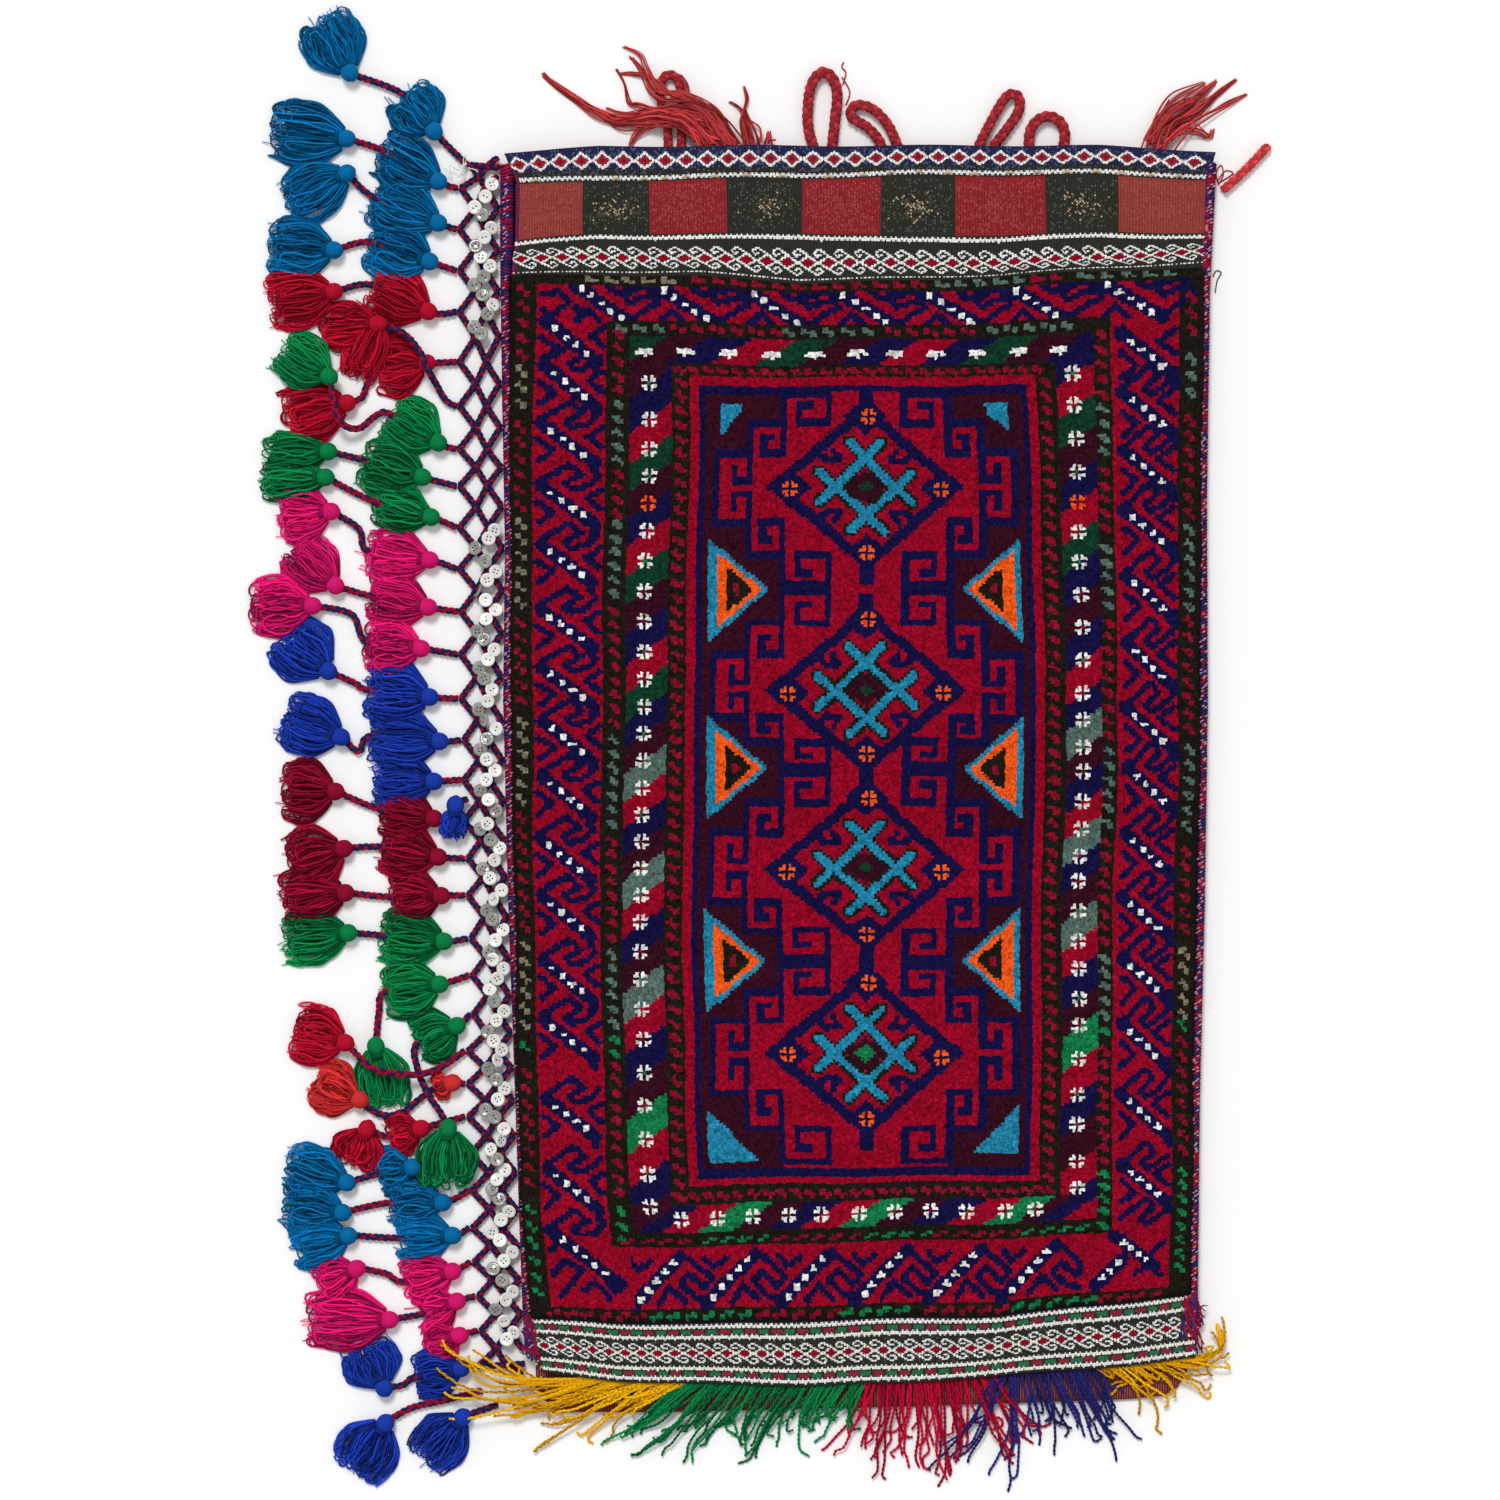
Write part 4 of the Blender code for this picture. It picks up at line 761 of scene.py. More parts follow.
@dataclass(frozen=True)
class Finish:
    """A procedural finish. Colours are given from 0 to 255."""

    name: str
    colour: tuple[float, float, float] = (128, 128, 128)
    spread: float = 0.22
    # Mean of the fibres' shade; below 1, as on the pile, it darkens the whole surface as painted
    # shade
    depth: float = 1.0
    roughness: float = 0.88
    specular: float = 0.04
    grain: float = 700.0
    bump: float = 0.35
    bump_depth: float = 0.0004
    from_attribute: bool = False

    def make(self) -> bpy.types.Material:
        """Make the finish's material, once.

        Returns:
            The material.
        """
        made = bpy.data.materials.get(self.name)
        if not made:
            made = bpy.data.materials.new(self.name)
            made.use_nodes = True
            self.dress(made.node_tree, made.node_tree.nodes["Principled BSDF"])
        return made

    def dress(self, tree: bpy.types.NodeTree, shader: bpy.types.Node) -> None:
        """Build the fibres' shade and relief.

        Args:
            tree: The material's nodes.
            shader: Its shader.
        """
        nodes, links = tree.nodes, tree.links
        set_sockets(shader, {"Roughness": self.roughness, "Specular IOR Level": self.specular})
        place = nodes.new("ShaderNodeTexCoord")
        fibres = nodes.new("ShaderNodeTexNoise")
        set_sockets(fibres, {"Scale": self.grain, "Detail": 3.0})
        links.new(place.outputs["Object"], fibres.inputs["Vector"])
        shade = nodes.new("ShaderNodeMapRange")
        set_sockets(shade, {"From Min": 0.3, "From Max": 0.7, "To Min": self.depth - self.spread,
                            "To Max": self.depth + self.spread})
        links.new(fibres.outputs["Fac"], shade.inputs["Value"])
        tint = nodes.new("ShaderNodeVectorMath")
        tint.operation = "SCALE"
        links.new(shade.outputs["Result"], tint.inputs["Scale"])
        if self.from_attribute:
            yarn = nodes.new("ShaderNodeAttribute")
            yarn.attribute_name = ATTRIBUTE
            links.new(yarn.outputs["Color"], tint.inputs[0])
        else:
            tint.inputs[0].default_value = linear(self.colour)
        links.new(tint.outputs["Vector"], shader.inputs["Base Color"])
        relief = nodes.new("ShaderNodeBump")
        set_sockets(relief, {"Strength": self.bump, "Distance": self.bump_depth})
        links.new(fibres.outputs["Fac"], relief.inputs["Height"])
        links.new(relief.outputs["Normal"], shader.inputs["Normal"])


@dataclass(frozen=True)
class WovenFinish(Finish):
    """Plain weave whose pale warps show as fine lines along the bag."""

    warp: tuple[float, float, float] = (200, 160, 140)
    pitch: float = 1.7
    shown: float = 0.42

    def dress(self, tree: bpy.types.NodeTree, shader: bpy.types.Node) -> None:
        """Lay the pale warps over the fibres' colour.

        Args:
            tree: The material's nodes.
            shader: Its shader.
        """
        super().dress(tree, shader)
        ground = shader.inputs["Base Color"].links[0].from_socket
        place = tree.nodes.new("ShaderNodeTexCoord")
        lines = tree.nodes.new("ShaderNodeTexWave")
        set_sockets(lines, {"Scale": 2 * math.pi / (20 * self.pitch * MM), "Distortion": 0.6,
                            "Detail": 1.0})
        tree.links.new(place.outputs["Object"], lines.inputs["Vector"])
        shown = tree.nodes.new("ShaderNodeMapRange")
        set_sockets(shown, {"From Min": 0.6, "To Max": self.shown})
        tree.links.new(lines.outputs["Fac"], shown.inputs["Value"])
        both = tree.nodes.new("ShaderNodeMix")
        both.data_type = "RGBA"
        both.inputs["B"].default_value = (*linear(self.warp), 1.0)
        tree.links.new(shown.outputs["Result"], both.inputs["Factor"])
        tree.links.new(ground, both.inputs["A"])
        tree.links.new(both.outputs["Result"], shader.inputs["Base Color"])


@dataclass(frozen=True)
class ButtonFinish(Finish):
    """Shirt-button plastic, opaque and pearly or nearly clear."""

    specular: float = 0.5
    grain: float = 300.0
    bump: float = 0.05
    clear: float = 0.0

    def dress(self, tree: bpy.types.NodeTree, shader: bpy.types.Node) -> None:
        """Give the plastic its coat and its clearness."""
        super().dress(tree, shader)
        set_sockets(shader, {"Transmission Weight": self.clear, "Coat Weight": 0.5})


def dyed(name: str, colour: tuple[float, float, float]) -> tuple[Finish, Finish, Finish]:
    """Return one dye in three tones for neighbouring yarns: the dark and light copies are partly
    each yarn's own tone and partly painted shade and painted highlight between the yarns.

    Args:
        name: What the finishes are called.
        colour: The middle tone, from 0 to 255.

    Returns:
        Its dark, middle and light finishes.
    """
    # Dark and light copies: partly each yarn's own tone, partly painted shade and painted highlight
    # between yarns
    tones_and_shades = (("dark", 0.66), ("mid", 0.95), ("light", 1.18))
    return tuple(Finish(f"{name}_{depth}", tuple(min(255, value * share) for value in colour),
                        grain=900.0, spread=0.18)
                 for depth, share in tones_and_shades)


class Dye(Enum):
    """Dyes of the tassels, fringe and cords, from 0 to 255."""

    TEAL = (8, 108, 166)
    RED = (186, 18, 48)
    GREEN = (12, 128, 70)
    PINK = (218, 26, 112)
    ROYAL = (30, 60, 170)
    WINE = (146, 14, 50)
    CORAL = (212, 50, 52)
    YELLOW = (240, 176, 12)
    CRIMSON = (188, 14, 56)
    NAVY = (42, 42, 112)
    LOOP = (156, 46, 52)
    LOOP_LIGHT = (196, 64, 66)

    def slot_name(self) -> str:
        """Return the record's slot of yarn in this dye."""
        return f"yarn_{self.name.lower()}"

    def finishes(self) -> tuple[Finish, Finish, Finish]:
        """Return the dye's dark, middle and light finishes, partly painted shade and painted
        highlight.
        """
        return dyed(self.slot_name(), self.value)


# A loose yarn is dark, middle or light, and middle twice as often; dark and light are partly
# painted shade and painted highlight
LOOSE_TONES_AND_SHADES = (0, 1, 1, 2)
BRAID_FINISHES = (Finish("braid_red", (150, 18, 48), grain=900.0),
                  Finish("braid_navy", (36, 36, 80), grain=900.0))


@dataclass
class Strand:
    """One length of yarn: its places in millimetres, its radius along them and its finish."""

    points: np.ndarray
    radius: Numbers = 0.5
    slot: int = 0


def smooth(points: Sequence[Sequence[float]], spacing: float) -> np.ndarray:
    """Read places at an even spacing from a smooth curve through the given ones.

    Args:
        points: Places in millimetres.
        spacing: Distance between the places returned.

    Returns:
        The places, one row each.
    """
    given = np.array(points, dtype=float)
    ends = np.vstack((given[:1], given, given[-1:]))
    fine = []
    t = np.linspace(0, 1, 12, endpoint=False)[:, None]
    for a, b, c, d in zip(ends, ends[1:], ends[2:], ends[3:]):
        fine.append(0.5 * (2 * b + (c - a) * t + (2 * a - 5 * b + 4 * c - d) * t ** 2
                           + (3 * b - a - 3 * c + d) * t ** 3))
    fine = np.vstack((*fine, given[-1:]))
    gone = gone_along(fine)
    count = max(3, round(gone[-1] / spacing))
    wanted = np.linspace(0, gone[-1], count + 1)
    return np.stack([np.interp(wanted, gone, fine[:, axis]) for axis in range(fine.shape[1])], 1)


def gone_along(path: np.ndarray) -> np.ndarray:
    """Return how far along the path each of its places is."""
    return np.concatenate(([0.0], np.cumsum(np.linalg.norm(np.diff(path, axis=0), axis=1))))


def linked(name: str, data: bpy.types.ID) -> bpy.types.Object:
    """Put data in the scene.

    Args:
        name: The object's name.
        data: Its data.

    Returns:
        The object.
    """
    made = bpy.data.objects.new(name, data)
    bpy.context.scene.collection.objects.link(made)
    return made


def mesh_of(name: str, work: bmesh.types.BMesh) -> bpy.types.Mesh:
    """Turn a worked form into a mesh.

    Args:
        name: Name of the mesh.
        work: The form, which is freed.

    Returns:
        The mesh.
    """
    made = bpy.data.meshes.new(name)
    work.to_mesh(made)
    work.free()
    return made


def slab(name: str, columns: int, rows: int) -> bpy.types.Mesh:
    """Make a closed slab whose face is a grid.

    Args:
        name: Name of the mesh.
        columns: Cells across.
        rows: Cells down.

    Returns:
        The slab, 1 wide and long about the origin, with its face at 0 and its underside at -1.
    """
    work = bmesh.new()
    bmesh.ops.create_grid(work, x_segments=columns, y_segments=rows, size=0.5)
    rim = [edge for edge in work.edges if edge.is_boundary]
    for part in bmesh.ops.extrude_edge_only(work, edges=rim)["geom"]:
        if isinstance(part, bmesh.types.BMVert):
            part.co.z = -1.0
    bmesh.ops.holes_fill(work, edges=[edge for edge in work.edges if edge.is_boundary], sides=0)
    bmesh.ops.recalc_face_normals(work, faces=work.faces)
    return mesh_of(name, work)


def yarn_mesh(name: str, strands: Iterable[Strand], resolution: int = 0) -> bpy.types.Mesh:
    """Make one mesh of many lengths of yarn.

    Args:
        name: Name of the mesh.
        strands: The lengths of yarn.
        resolution: Extra sides for each quarter of the yarn's section.

    Returns:
        The mesh, in metres.
    """
    curve = bpy.data.curves.new(name, "CURVE")
    curve.dimensions = "3D"
    curve.bevel_depth = MM
    curve.bevel_resolution = resolution
    curve.use_fill_caps = True
    strands = list(strands)
    for _ in range(1 + max(strand.slot for strand in strands)):
        curve.materials.append(None)
    for strand in strands:
        spline = curve.splines.new("POLY")
        count = len(strand.points)
        spline.points.add(count - 1)
        places = np.ones((count, 4))
        places[:, :3] = strand.points * MM
        spline.points.foreach_set("co", places.ravel())
        radius = np.broadcast_to(np.asarray(strand.radius, dtype=float), (count,))
        spline.points.foreach_set("radius", np.ascontiguousarray(radius))
        spline.material_index = strand.slot
    holder = linked(name + "_curve", curve)
    bpy.context.view_layer.update()
    evaluated = holder.evaluated_get(bpy.context.evaluated_depsgraph_get())
    mesh = bpy.data.meshes.new_from_object(evaluated)
    bpy.data.objects.remove(holder, do_unlink=True)
    bpy.data.curves.remove(curve)
    mesh.name = name
    return mesh


def joined(name: str, meshes: Sequence[bpy.types.Mesh]) -> bpy.types.Mesh:
    """Join meshes into one and turn all faces outwards.

    Args:
        name: Name of the mesh.
        meshes: The meshes, which are used up.

    Returns:
        The joined mesh.
    """
    work = bmesh.new()
    for mesh in meshes:
        work.from_mesh(mesh)
        bpy.data.meshes.remove(mesh)
    bmesh.ops.remove_doubles(work, verts=work.verts, dist=0.000001)
    bmesh.ops.recalc_face_normals(work, faces=work.faces)
    return mesh_of(name, work)


def add_piece(name: str, mesh: bpy.types.Mesh, finishes: Sequence[Finish], slot: str,
              replaces: Sequence[str] = ()) -> bpy.types.Object:
    """Add a finished piece to the bag.

    Args:
        name: The piece's name.
        mesh: Its mesh, in place.
        finishes: A finish for each material index.
        slot: A material slot name; not used.
        replaces: The solids that it stands for.

    Returns:
        The object.
    """
    marks = np.empty(len(mesh.polygons), dtype=np.int32)
    mesh.polygons.foreach_get("material_index", marks)
    mesh.materials.clear()
    for finish in finishes:
        mesh.materials.append(finish.make())
    mesh.polygons.foreach_set("material_index", marks)
    mesh.shade_smooth()
    piece = linked(name, mesh)
    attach(piece, BODY)
    if replaces:
        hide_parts(*replaces)
    mesh.calc_loop_triangles()
    LOG.info("%s: %d triangles", name, len(mesh.loop_triangles))
    return piece


def plait(path: np.ndarray, radius: float, pitch: float, slots: Sequence[int],
          phase: float = 0.0) -> list[Strand]:
    """Plait strands along a path.

    Args:
        path: Evenly spaced places of the plait's middle, in millimetres.
        radius: Half the plait's width.
        pitch: Length in which a strand crosses over and back.
        slots: A finish for each strand.
        phase: Where in the crossing the plait starts.

    Returns:
        The strands.
    """
    going = np.gradient(path, axis=0)
    going /= np.linalg.norm(going, axis=1)[:, None]
    side = np.cross(going, (0.0, 0.0, 1.0))
    side /= np.maximum(np.linalg.norm(side, axis=1), 0.05)[:, None]
    up = np.cross(side, going)
    gone = gone_along(path)
    count = len(slots)
    thick = radius / 2
    strands = []
    for index, slot in enumerate(slots):
        turn = 2 * math.pi * (gone / pitch + index / count) + phase
        swing = (radius - thick) * np.sin(turn)
        rise = 0.42 * radius * np.sin(2 * turn)
        strands.append(Strand(path + side * swing[:, None] + up * rise[:, None], thick, slot))
    return strands


@dataclass
class PanelMesh:
    """A woven panel laid on the bag, coloured knot by knot from its chart.

    The knots' tips stand up by as much as the rise in millimetres, lie as far aside as the loose
    share of a knot, differ in tone by the spread, and every other column is darkened as painted
    shade of the weave's ribbing.
    """

    name: str
    chart: Chart
    seed: int
    spread: float = 0.07
    rise: float = 0.0
    loose: float = 0.05
    # Painted shade of the weave's ribbing, on every other column
    rib_shade: float = 0.26

    def build(self) -> bpy.types.Mesh:
        """Build the panel, with its underside closed.

        Returns:
            The mesh.
        """
        mesh = slab(self.name, self.chart.columns, self.chart.rows)
        self.colour(mesh)
        self.lay(mesh)
        return mesh

    def colour(self, mesh: bpy.types.Mesh) -> None:
        """Give each knot's faces its yarn's colour.

        Args:
            mesh: The flat panel.
        """
        chart = self.chart
        middles = np.empty(len(mesh.polygons) * 3)
        mesh.polygons.foreach_get("center", middles)
        middles = middles.reshape(-1, 3)
        column = np.clip(((middles[:, 0] + 0.5) * chart.columns).astype(int), 0, chart.columns - 1)
        row = np.clip(((0.5 - middles[:, 1]) * chart.rows).astype(int), 0, chart.rows - 1)
        colours = chart.colours(self.seed, self.spread, self.rib_shade)[row, column]
        sizes = np.empty(len(mesh.polygons), dtype=np.int32)
        mesh.polygons.foreach_get("loop_total", sizes)
        corners = np.ones((len(mesh.loops), 4))
        corners[:, :3] = np.repeat(colours, sizes, axis=0)
        layer = mesh.color_attributes.new(ATTRIBUTE, "FLOAT_COLOR", "CORNER")
        layer.data.foreach_set("color", corners.ravel())

    def lay(self, mesh: bpy.types.Mesh) -> None:
        """Carry the flat panel's points to the bag.

        Args:
            mesh: The flat panel.
        """
        chart, rng = self.chart, np.random.default_rng(self.seed)
        count = len(mesh.vertices)
        points = np.empty(count * 3)
        mesh.vertices.foreach_get("co", points)
        points = points.reshape(-1, 3)
        left, top, right, bottom = chart.box
        inner = (abs(points[:, 0]) < 0.4999) & (abs(points[:, 1]) < 0.4999)
        moved = rng.uniform(-self.loose, self.loose, (count, 2)) * inner[:, None]
        across = left + (points[:, 0] + 0.5) * (right - left) + moved[:, 0] * chart.step[0]
        down = top + (0.5 - points[:, 1]) * (bottom - top) + moved[:, 1] * chart.step[1]
        plan_x, plan_y = plan_of_chart(across, down)
        x, y = place(across, down)
        level = OUTLINE.height(plan_x, plan_y)
        level += inner * self.rise * rng.uniform(0.0, 1.0, count)
        level = np.where(points[:, 2] < -0.5, FRONT_UNDERSIDE, level)
        mesh.vertices.foreach_set("co", (np.stack((x, y, level), 1) * MM).ravel())
        mesh.update()


@dataclass
class Panels:
    """Front and back of the bag."""

    # The pile's mean of 0.86 is painted shade between the knots; its wide spread is partly the
    # wool's unevenness and partly painted highlight and shade speckle
    pile_finish: Finish = Finish("pile", from_attribute=True, spread=0.42, depth=0.86,
                                 grain=650.0, bump=0.8, bump_depth=0.0007)
    weave_finish: Finish = Finish("flatweave", from_attribute=True, spread=0.16, grain=900.0,
                                  bump=0.5)
    back_finish: Finish = WovenFinish("plain_weave", Yarn.RED_BROWN.value, spread=0.35,
                                      grain=800.0, bump=0.6)
    back_left: float = -242.0
    back_width: float = 486.0
    back_top: float = 2.7

    def build(self) -> None:
        """Build the panels."""
        pile, *ends = [
            add_piece(part.name, part.build(), [finish], "pile_wool", replaces)
            for part, finish, replaces in (
                # Knot spread of 0.17: partly the wool's own tone, partly painted sheen and shade of
                # the pile
                (PanelMesh("front_pile", PileChart(), 11, 0.17, 0.9, 0.30, 0.0), self.pile_finish,
                 ["front_panel"]),
                (PanelMesh("front_top_weave", TopBandChart(), 12), self.weave_finish, ()),
                (PanelMesh("front_lower_weave", LowerBandChart(), 13), self.weave_finish, ()))]
        self.build_back()

    def build_back(self) -> bpy.types.Object:
        """Build the back panel, a plain weave a little longer than the front.

        Returns:
            The piece.
        """
        mesh = slab("back_weave", 60, 110)
        for vertex in mesh.vertices:
            share, up = vertex.co.x + 0.5, vertex.co.y + 0.5
            x = self.back_left + share * self.back_width
            low = float(OUTLINE.read(OUTLINE.back_lower, x))
            high = float(OUTLINE.read(OUTLINE.top, x)) - 0.4
            y = low + up * (high - low)
            left = float(OUTLINE.left_at(y)) + OUTLINE.inset
            right = float(OUTLINE.right_at(y)) - OUTLINE.inset
            rise = self.back_top + 0.25 * math.sin(x / 9.0) * math.sin(y / 14.0)
            level = 0.0 if vertex.co.z < -0.5 else rise
            vertex.co = Vector((left + share * (right - left), y, level)) * MM
        return add_piece("back_weave", mesh, [self.back_finish], "back_weave", ["back_panel"])


@dataclass
class Bindings:
    """Overcast side edges and the seam at the lower end."""

    width: float = 7.0
    wider: float = 1.5
    wider_above: float = 345.0
    pitch: float = 1.15
    stitch_step: float = 4.0
    red: Finish = Finish("binding_red", (156, 24, 58), grain=900.0)
    navy: Finish = Finish("binding_navy", (48, 40, 96), grain=900.0)
    pale: Finish = Finish("binding_pale", (206, 150, 170), grain=900.0)
    ivory: Finish = Finish("seam_ivory", (214, 208, 190), grain=900.0)

    def wraps(self, edge_at: Callable[[Numbers], np.ndarray], inset: float, low: float,
              high: float, seed: int) -> list[Strand]:
        """Wrap yarn round one side edge, leaning one way and then the other.

        Args:
            edge_at: Gives the outer x of the edge at y.
            inset: From the edge to the binding's middle, signed.
            low: Lowest y of the binding.
            high: Highest y of the binding.
            seed: Seed of the unevennesses.

        Returns:
            The wraps and the pale dashes on them.
        """
        rng = np.random.default_rng(seed)
        turn = np.linspace(-0.45 * math.pi, 1.45 * math.pi, 13)
        wraps = []
        for index, y in enumerate(np.arange(low + 2.5, high - 2.5, self.pitch)):
            lean = rng.uniform(1.2, 2.6) * (1 if index % 2 else -1)
            ys = y + lean * np.cos(turn) * np.sin(turn).clip(-0.2, 1)
            extra = self.wider * float(np.clip((y - self.wider_above) / 30, 0, 1))
            ring = self.width / 2 - 0.75 + 0.25 * (index % 2) + extra
            x = edge_at(ys) + inset + math.copysign(extra, inset) + ring * np.cos(turn)
            tall = BINDING_HEIGHT / 2 - 0.9 + 0.3 * (index % 2)
            z = BINDING_HEIGHT / 2 + 0.2 + tall * np.sin(turn)
            wraps.append(Strand(np.stack((x, ys, z), 1), rng.uniform(0.7, 1.0),
                                int(rng.integers(2))))
            if rng.random() < 0.45:
                middle = edge_at(y) + inset + rng.uniform(-0.3, 0.3) * self.width
                dash = np.array(((-0.9, -0.5, -0.6), (0, 0, 0.1), (0.9, 0.5, -0.6)))
                wraps.append(Strand(dash + (middle, y, BINDING_HEIGHT + 0.2), 0.5, 2))
        return wraps

    def build(self) -> None:
        """Build both bindings and the seam."""
        finishes = [self.red, self.navy, self.pale]
        sides = (("binding_left", OUTLINE.left_at, self.width / 2, -399, 433, 21),
                 ("binding_right", OUTLINE.right_at, -self.width / 2, -390, 434, 22))
        for name, edge_at, inset, low, high, seed in sides:
            wraps = self.wraps(edge_at, inset, low, high, seed)
            ys = np.linspace(low + 2, high - 2, 60)
            core = np.stack((edge_at(ys) + inset, ys, np.full(60, BINDING_HEIGHT / 2)), 1)
            tube = flatten(yarn_mesh(name + "_core", [Strand(core, self.width / 2 - 0.9, 1)], 2),
                           BINDING_HEIGHT / 2, 1.9)
            mesh = joined(name + "_wrapped", [tube, yarn_mesh(name, wraps)])
            add_piece(name + "_wrapped", mesh, finishes, "binding_yarn", [name])
        stitches = []
        for x in np.arange(-224.0, 229.0, self.stitch_step):
            y = float(OUTLINE.read(OUTLINE.lower, x)) + 5.5
            stitches.append(Strand(np.array(((x - 1.5, y - 2.6, 4.2), (x - 1.5, y - 2.9, 6.0),
                                             (x, y - 0.8, 8.0), (x + 1.5, y + 2.6, 7.4),
                                             (x + 1.5, y + 2.6, 4.4))), 0.8, 0))
        add_piece("seam_stitches", yarn_mesh("seam_stitches", stitches), [self.ivory], "seam_yarn",
                  ["bottom_seam"])


# For each braid: its dye, its root at the net, its first tassel, the places that it passes and
# its last tassel. A tassel is its head, its tip and half its width. A third number is a lift.
STRANDS = (
    ("TEAL", (-273, 431), ((-296, 454), (-317, 480), 16), (), ((-355, 495), (-375, 533), 17)),
    ("TEAL", (-280, 415), ((-293, 419), (-332, 441), 16), (), ((-357, 449), (-408, 456), 18)),
    ("TEAL", (-281, 386), ((-293, 390), (-338, 408), 16), (), ((-357, 425), (-398, 404), 16)),
    ("TEAL", (-281, 357), ((-299, 363), (-340, 377), 18), (), ((-366, 371), (-410, 374), 17)),
    ("RED", (-281, 328), ((-300, 328), (-339, 347), 16), (), ((-366, 342), (-411, 335), 17)),
    ("RED", (-281, 293), ((-301, 292), (-336, 290), 18), ((-343, 278), (-347, 268)), ((-357, 264),
     (-400, 254), 17)),
    ("RED", (-281, 262), None, ((-288, 266), (-294, 276, 3), (-300, 287, 11.8), (-306, 300, 11.8),
     (-318, 313, 8)), ((-335, 319, 4), (-374, 317), 13)),
    ("GREEN", (-281, 232), ((-293, 236), (-326, 256), 16), ((-336, 256), (-349, 246, 5),
     (-361, 250, 11.8), (-366, 266, 11.8)), ((-369, 282, 6), (-402, 302), 15)),
    ("GREEN", (-281, 206), ((-304, 212), (-345, 224), 17), (), ((-370, 230), (-414, 229), 12)),
    ("GREEN", (-281, 177), ((-298, 184), (-336, 194), 13), (), ((-372, 212), (-415, 209), 12)),
    ("PINK", (-281, 148), ((-299, 154), (-342, 160), 15), ((-349, 176),), ((-368, 188),
     (-404, 186), 17)),
    ("PINK", (-280, 118), ((-300, 121), (-341, 129), 15), (), ((-365, 136), (-395, 162), 15)),
    ("PINK", (-280, 88), ((-305, 92), (-343, 96), 16), ((-354, 116),), ((-381, 122), (-423, 122),
     17)),
    ("ROYAL", (-280, 57), ((-299, 58), (-342, 63), 18), ((-352, 68),), ((-370, 76), (-401, 101),
     18)),
    ("ROYAL", (-278, 28), ((-292, 27), (-340, 31), 16), ((-349, 20),), ((-361, 30), (-400, 44),
     17)),
    ("ROYAL", (-278, 0), ((-296, -1), (-338, 1), 16), (), None),
    ("ROYAL", (-273, -13, 3), None, (), ((-281, -17, 4), (-283, -40, 6.5), 7)),
    ("WINE", (-278, -29), ((-296, -27), (-333, -21), 14), (), ((-365, -8), (-402, -7), 18)),
    ("WINE", (-275, -55), ((-293, -54), (-332, -47), 15), (), ((-359, -48), (-396, -60), 18)),
    ("WINE", (-275, -81), ((-291, -81), (-326, -82), 15), (), ((-358, -79), (-402, -84), 16)),
    ("GREEN", (-273, -111), ((-289, -113), (-332, -109), 16), (), ((-356, -107), (-400, -112), 15)),
    ("GREEN", (-272, -137), ((-292, -143), (-330, -148), 17), ((-335, -163),), ((-337, -186),
     (-331, -228), 16)),
    ("GREEN", (-271, -164), ((-280, -172), (-308, -184), 16), ((-308, -202, 1), (-300, -220, 5.6),
     (-292, -232, 5.6)), ((-286, -243, 5.6), (-289, -284, 5.6), 17)),
    ("RED", (-275, -190), None, ((-293, -202, 3), (-308, -206, 9), (-322, -205, 11.8),
     (-338, -202, 11.8), (-350, -192, 8)), ((-358, -184, 1), (-394, -176), 17)),
    ("CORAL", (-275, -213), ((-283, -212), (-296, -216), 8), ((-307, -224), (-320, -234),
     (-335, -234)), ((-348, -224), (-380, -211), 15)),
    ("RED", (-275, -236), ((-305, -244), (-328, -250), 12), (), ((-343, -244), (-353, -270), 15)),
    ("TEAL", (-273, -262), ((-311, -271), (-335, -276), 14), (), ((-357, -282), (-398, -269), 14)),
    ("TEAL", (-272, -288), ((-290, -296), (-326, -296), 14), (), ((-360, -303), (-400, -296), 15)),
    ("TEAL", (-272, -314), ((-283, -319), (-321, -321), 14), (), ((-356, -319), (-394, -328), 15)),
    ("PINK", (-271, -338), ((-283, -344), (-317, -352), 14), ((-330, -346),), ((-350, -342),
     (-377, -355), 14)),
    ("PINK", (-268, -362), ((-280, -365), (-304, -374), 12), (), ((-327, -378), (-383, -378), 17)),
    ("PINK", (-266, -386), None, (), ((-278, -389), (-302, -397), 14)),
    ("ROYAL", (-268, -411), ((-277, -412), (-309, -418), 14), ((-318, -424),), ((-331, -426),
     (-345, -398), 16)),
    ("ROYAL", (-263, -428), None, ((-290, -435), (-312, -440)), ((-330, -450), (-352, -484), 17)),
    ("ROYAL", (-252, -438), None, (), ((-276, -446), (-302, -476), 15)))


def raised(place: Sequence[float]) -> tuple[float, float, float]:
    """Return a place with its lift, which is nought where none is given."""
    return (*place, 0)[:3]


